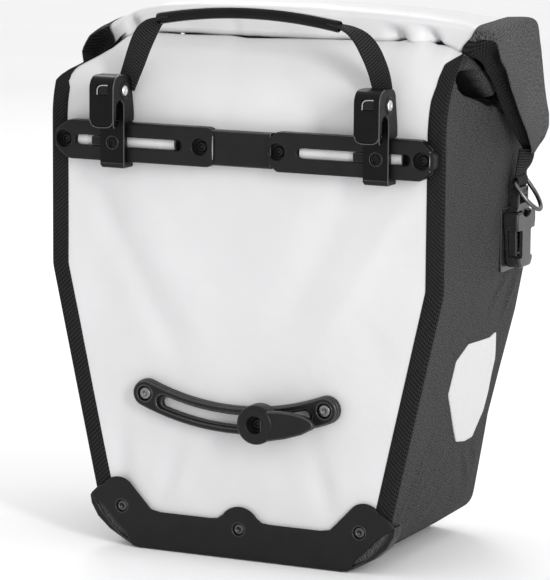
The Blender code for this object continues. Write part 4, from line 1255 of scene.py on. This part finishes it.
def make_handle():
    """The arched grip tube and the webbing from its ends down to the latches."""
    low, high = -68.0, 78.0
    sections = []
    lip = [(5.0, 3.3), (0.6, 3.6), (0.0, 3.9), (0.0, 4.3), (0.5, 4.65)]
    stops = [(low + along, radius) for along, radius in lip]
    stops += [(x, 4.7) for x in np.linspace(low + 4, high - 4, 26)]
    stops += [(high - along, radius) for along, radius in lip[::-1]]
    for x, radius in stops:
        t = (x - low) / (high - low)
        z = 400.5 + 7.0 * (1 - (2 * t - 1) ** 2)
        slope = math.atan(-4 * 7.0 * (2 * t - 1) / (high - low))
        ring = []
        for angle in np.linspace(0, 2 * math.pi, 33)[:-1]:
            up, out = radius * math.cos(angle), radius * math.sin(angle)
            ring.append((x - up * math.sin(slope), -3.75 + out, z + 0.92 * up * math.cos(slope)))
        sections.append(ring)
    grip = loft_piece("grip_tube", sections, "grip", "handle")
    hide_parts("handle_grip")
    # The webbing's route, half widths and turns on each side.
    routes = {
        "left": ([(-58, -3.8, 402.6), (-66, -3.8, 400.4), (-72.5, -4.2, 396.6), (-78, -4.4, 390),
                  (-83, -4.2, 380), (-87.5, -3.9, 368), (-91.5, -3.8, 358), (-95, -3.8, 348.5)],
                 [5.6, 6.4, 7.8, 8.4, 8.2, 7.9, 7.6, 7.4], [0, 12, 30, 48, 62, 74, 86, 90]),
        "right": ([(70, -3.8, 402.6), (79, -3.8, 401.2), (88, -4.2, 398.4), (96.5, -4.4, 392.4),
                   (103, -4.2, 383), (108.5, -3.9, 371), (111.6, -3.8, 360), (113, -3.8, 348.5)],
                  [5.6, 6.0, 6.6, 7.2, 7.5, 7.6, 7.6, 7.4], [0, 5, 16, 36, 58, 76, 86, 90])}
    for side, (route, widths, turns) in routes.items():
        strap = strap_piece("handle_webbing_" + side, route, widths, turns, 1.7, None)
        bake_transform(strap)
        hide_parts("handle_strap_" + side)


# ---- the lower hook

ARC_CENTRE = (-3.0, 306.0)
ARC_REACH = 200.0
ARC_END = 21.6
FINGER_PLACE = (21.4, 107.5)


def on_arc(degrees, radius=ARC_REACH):
    angle = math.radians(degrees)
    return (ARC_CENTRE[0] + radius * math.sin(angle), ARC_CENTRE[1] - radius * math.cos(angle))


def arc_band(half, end, count=36):
    """A curved band with round ends, symmetric about the rail's middle."""
    outer = [on_arc(-end + 2 * end * k / count, ARC_REACH + half) for k in range(count + 1)]
    inner = [on_arc(end - 2 * end * k / count, ARC_REACH - half) for k in range(count + 1)]
    right = arc(on_arc(end), half, end - 90, end + 90, 14)[1:-1]
    left = arc(on_arc(-end), half, 90 - end, 270 - end, 14)[1:-1]
    return outer + right + inner + left


def make_arc_rail():
    cups = [on_arc(-ARC_END), on_arc(ARC_END)]
    back = [arc_band(10.5, ARC_END), arc_band(3.9, 16.5)]
    base = plate_piece("arc_rail_base", back, "XZ", -5.6, -0.4, "plastic", edge=0.9)
    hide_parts("arc_rail")
    face = [arc_band(9.9, ARC_END), arc_band(5.4, 17.0)] + [circle(centre, 5.9, 40) for centre in cups]
    plate_piece("arc_rail_face", face, "XZ", -8.6, -4.8, "plastic", edge=1.2)
    for number, (x, z) in enumerate(cups, 1):
        ring_piece("arc_cup_%d" % number, (x, z), 5.6, 7.0, -9.1, -7.6, edge=0.55)
        screw_head("arc_screw_%d" % number, x, z, -8.6, -5.2, 4.7, cross, "bright_screw")


def make_finger():
    """A round boss with a tapering blade that hooks over the rack's stay."""
    x, z = FINGER_PLACE
    body = "lower_hook"

    def outline(points, radius, count):
        return [rounded([(x + across, z + up) for across, up in points], radius, count)]

    blade = [(4, 11), (11, 11.2), (19, 11.9), (29, 11.5), (39, 9.9), (44, 7.8), (46.6, 5.2), (47, 2.6),
             (45.6, 0.6), (37, -4.1), (24.5, -8.2), (11, -11.2), (4, -11)]
    wing = plate_piece("hook_blade", outline(blade, 3.0, 5), "XZ", -23.0, -17.6, "plastic", body, 1.3)
    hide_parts("lower_hook_finger")
    under = [(8, 8.5), (30, 8.6), (41.5, 6.6), (43.0, 4.0), (40, 1.8), (28, -1.5), (8, -6)]
    plate_piece("hook_blade_web", outline(under, 2.0, 4), "XZ", -18.2, -14.5, "plastic", body, 0.8)
    profile = [(13.6, -9.0), (14.5, -9.6), (14.8, -11.0), (14.8, -20.8), (14.5, -22.4), (13.6, -23.6),
               (12.2, -24.2), (10.6, -24.2), (9.6, -23.8), (8.4, -23.4), (7.2, -23.6), (6.6, -23.2),
               (6.4, -22.0), (6.2, -16.6), (1.0, -16.4)]
    lathe_piece("hook_boss", (x, 0, z), "y", profile, "plastic", body, 64)
    # The screw deep in the boss gets the darker steel as painted shade.
    screw = screw_head("lower_hook_screw", x, z, -18.0, -16.2, 4.6, torx, "dark_screw", body)
    screw.name = "hook_boss_screw"
    polish_cad("lower_hook_nut", "ring")


# ---- the bottom protector


def make_protector():
    knob = arc((0.0, 23.0), 17.0, 90, 35, 10)
    end_knob = arc((101.5, 38.5), 14.5, 128, 34, 12)
    half = knob + [(18.5, 29.6), (25.0, 29.0), (66.0, 29.0), (74.0, 30.4)] + end_knob
    half += [(119.5, 43.5), (124.5, 38.6), (125.3, 36.2), (123.6, 34.2), (118.2, 31.6), (112.5, 27.0),
             (102.6, 17.0), (94.6, 9.4), (92.4, 5.0), (89.5, 1.0), (84.0, 0.2)]
    outline = mirrored(half)[:-1]
    face = plate_piece("protector_face", [outline], "XZ", -4.6, -1.0, "plastic", edge=3.0, drop=1.7)
    screws = [(-98.0, 31.0), (0.0, 23.0), (98.0, 31.0)]
    carve(face, *[(circle(place, 5.5, 40), "XZ", -8.0, -2.6) for place in screws])
    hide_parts("bottom_protector")
    for number, (x, z) in enumerate(screws, 1):
        ring_piece("protector_well_%d" % number, (x, z), 4.7, 5.8, -4.9, -3.4, edge=0.4)
        screw_head("protector_screw_%d" % number, x, z, -4.3, -2.4, 4.3, cross)
    for side, sign in SIGNS.items():
        outer = [(126.6, 37.5), (125.2, 30.0), (119.8, 20.6), (109.5, 11.6), (98.4, 5.4), (91.0, 1.6),
                 (86, 0.0)]
        inner = [(86, 2.6), (93.0, 5.0), (99.3, 8.2), (107.6, 15.4), (116.4, 25.0), (121.6, 33.0),
                 (122.6, 37.5)]
        loop = [(sign * x, z) for x, z in rounded(outer + inner, 2.0, 3)]
        plate_piece("protector_rim_" + side, [loop], "XZ", -2.4, 9.0, "plastic", edge=0.8)
        at = np.linspace(0, 3, 24)
        start = resampled([(86, 12), (96, 19), (106, 29), (113, 42)], range(4), at)[:, None]
        end = resampled([(87, 1.8), (99, 7.2), (110.5, 15.5), (124.0, 37.0)], range(4), at)[:, None]
        share = np.linspace(0, 1, 12)[None, :, None]
        place = start * (1 - share) + end * share
        cloth = np.stack([sign * place[..., 0], np.full(place.shape[:2], -1.15), place[..., 1]], axis=-1)
        sheet_piece("corner_cloth_" + side, cloth, "ear_cloth", flip=sign < 0)
    low = [(-106, 11.0), (-86, 0.0), (86, 0.0), (106, 11.0)]
    high = [(104.5, 13.0), (85.2, 2.4), (-85.2, 2.4), (-104.5, 13.0)]
    plate_piece("protector_flange", [low + high], "XZ", -1.2, 31.0, "plastic", edge=0.6)


def make_inner_board():
    """The stiff board inside the back, under the shoulder's bend."""
    outline = rounded([(-100, 18), (100, 18), (142, 205), (142, 318), (-142, 318), (-142, 205)], 12, 5)
    board = plate_piece("inner_board", [outline], "XZ", 3.6, 5.4, "board", edge=0.6)
    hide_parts("back_stiffener")
    polish_cad("rail_backing_strip", "board")


# ---- the reflectors

# The reflector's corners, as depth and height.
REFLECTOR = [(130, 164), (119, 161.2), (78, 162.6), (61.5, 152), (62, 126), (80, 105), (100, 83),
             (117, 80.2), (132, 80.8), (142.5, 99), (144, 115), (141, 141)]


def side_surface(side):
    """A way to look up where the side cloth is, at a depth and a height."""
    cloth = bpy.data.objects["side_cloth_" + side]
    tree = BVHTree.FromPolygons([vertex.co for vertex in cloth.data.vertices],
                                [polygon.vertices for polygon in cloth.data.polygons])

    def look_up(depth, z):
        start = Vector(to_world((SIGNS[side] * 400.0, depth, z)))
        hit = tree.ray_cast(start, Vector((-SIGNS[side], 0, 0)))[0]
        return hit.x / MM if hit else SIGNS[side] * 160.0
    return look_up


def make_reflector(side):
    """A patch of reflective film that follows the bulge of the side."""
    look_up = side_surface(side)
    outline = rounded(REFLECTOR, 2.4, 4)
    line = []
    for (y0, z0), (y1, z1) in zip(outline, outline[1:] + outline[:1]):
        pieces = max(1, int(math.hypot(y1 - y0, z1 - z0) / 3.0))
        line += [(y0 + (y1 - y0) * k / pieces, z0 + (z1 - z0) * k / pieces) for k in range(pieces)]
    line = np.array(line)
    middle = line.mean(axis=0)
    rows = []
    rings = [(1.0, -0.2), (1.0, 0.55), (0.985, 0.85)]
    rings += [(share, 0.95) for share in (0.9, 0.75, 0.6, 0.45, 0.3, 0.15, 0.0)]
    for share, proud in rings:
        ring = middle + (line - middle) * share
        rows.append([(look_up(y, z) + SIGNS[side] * proud, y, z) for y, z in ring])
    rows = np.concatenate([rows, np.array(rows)[:, :1]], axis=1)
    film = sheet_piece("reflector_film_" + side, rows, "reflector", flip=SIGNS[side] > 0)
    weld(film)
    layer = film.data.uv_layers["cloth"]
    for loop in film.data.loops:
        place = film.data.vertices[loop.vertex_index].co
        layer.data[loop.index].uv = (place.y, place.z)
    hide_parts("reflector_" + side)


# ---- the side buckles

BUCKLE = 126.0
HINGE_X, HINGE_Z = 168.3, 280.5


def make_buckle(side):
    """The side buckle: its base, its hollow shell, the clip with its prongs, and the wire ring."""
    sign = SIGNS[side]

    def span(low, high):
        return (low, high) if sign > 0 else (-high, -low)

    def outline(points, radius=2.0):
        return rounded([(BUCKLE + y, z) for y, z in points], radius, 4)

    base = outline([(-19.5, 213), (19.5, 213), (20.5, 260.5), (-20.5, 260.5)])
    plate = plate_piece("buckle_base_" + side, [base], "YZ", *span(160.4, 162.1), "buckle", edge=0.6)
    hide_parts("buckle_plate_" + side)
    body = mirrored([(-18.2, 258), (-18.6, 250), (-16.8, 243), (-15.0, 236), (-14.2, 228), (-12.6, 220),
                     (-9.0, 216)])
    shell = plate_piece("buckle_shell_" + side, [outline(body, 3.0)], "YZ", *span(162.3, 174.6), "buckle",
                        edge=1.4, drop=1.9)
    cavity = [(BUCKLE + y, z) for y, z in mirrored([(-15.4, 264), (-15.4, 246), (-11.4, 222)])]
    windows = [rounded([(BUCKLE + way * y, z) for y, z in box_loop((40, 8.4), (223.5, 244.5))], 2.5, 5)
               for way in (-1, 1)]
    scoop = arc((BUCKLE, 266.5), 13.0, 180, 360, 24)
    cuts = [(cavity, 164.8, 172.2), (windows[0], 165.0, 180.0), (windows[1], 165.0, 180.0),
            (scoop, 171.0, 180.0)]
    carve(shell, *[(loop, "YZ", *span(low, high)) for loop, low, high in cuts])
    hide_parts("buckle_socket_" + side)
    for part in ("clip_" + side, "prong_%s_back" % side, "prong_%s_front" % side):
        polish_cad(part, "buckle", 0.8, 3)
    make_ear_strap(side, sign)
    # The wire ring's points: across the buckle, and down from its hinge along its tilted plane.
    drops = mirrored([(-12.8, 0), (-12.8, 5.5), (-12.8, 11), (-11.4, 16.5), (-8.6, 21.56), (-4.6, 25.08)],
                     [(0, 26.4)]) + [(6.4, 0), (0, 0), (-6.4, 0)]
    tilt = math.radians(38)
    points = [(sign * (HINGE_X + drop * math.sin(tilt)), BUCKLE + y, HINGE_Z - drop * math.cos(tilt))
              for y, drop in drops]
    ring = tube_piece("wire_ring_" + side, points, 1.65, "ring", "ring_" + side, True, 5)
    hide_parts("d_ring_" + side)


def make_ear_strap(side, sign):
    """Webbing from under the roll's end down to the clip, with a half twist."""
    route = [(sign * x, y, z) for x, y, z in (
        (173.0, 127.0, 304.5), (172.6, 126.8, 299.5), (171.4, 126.4, 294), (169.6, 126, 289),
        (168.4, 126, 285.2))]
    strap = strap_piece("ear_webbing_" + side, route, [6.5, 6.8, 8.2, 9.6, 9.8],
                        [sign * 38, sign * 34, sign * 18, sign * 4, 0], 1.5, "root", 4)
    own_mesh(strap)
    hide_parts("ear_strap_" + side)
    loop, hole = ([(sign * (HINGE_X + across * math.cos(a)), HINGE_Z + up * math.sin(a))
                   for a in np.radians(range(0, 360, 20))] for across, up in ((2.9, 4.5), (1.75, 3.2)))
    clip = "clip_" + side
    plate_piece("clip_loop_" + side, [loop, hole], "XZ", BUCKLE - 9.6, BUCKLE + 9.6, "webbing", clip, 0.3)


# ---- put together

make_camera()
make_studio()
make_back_sheet()
make_front_sheet()
make_base_sheet()
for side_name in SIGNS:
    make_side(side_name)
make_roll()

make_rail()
make_arc_rail()
make_finger()
make_protector()
make_handle()
for side_name in SIGNS:
    make_hook(side_name)
    make_reflector(side_name)
    make_buckle(side_name)
make_inner_board()
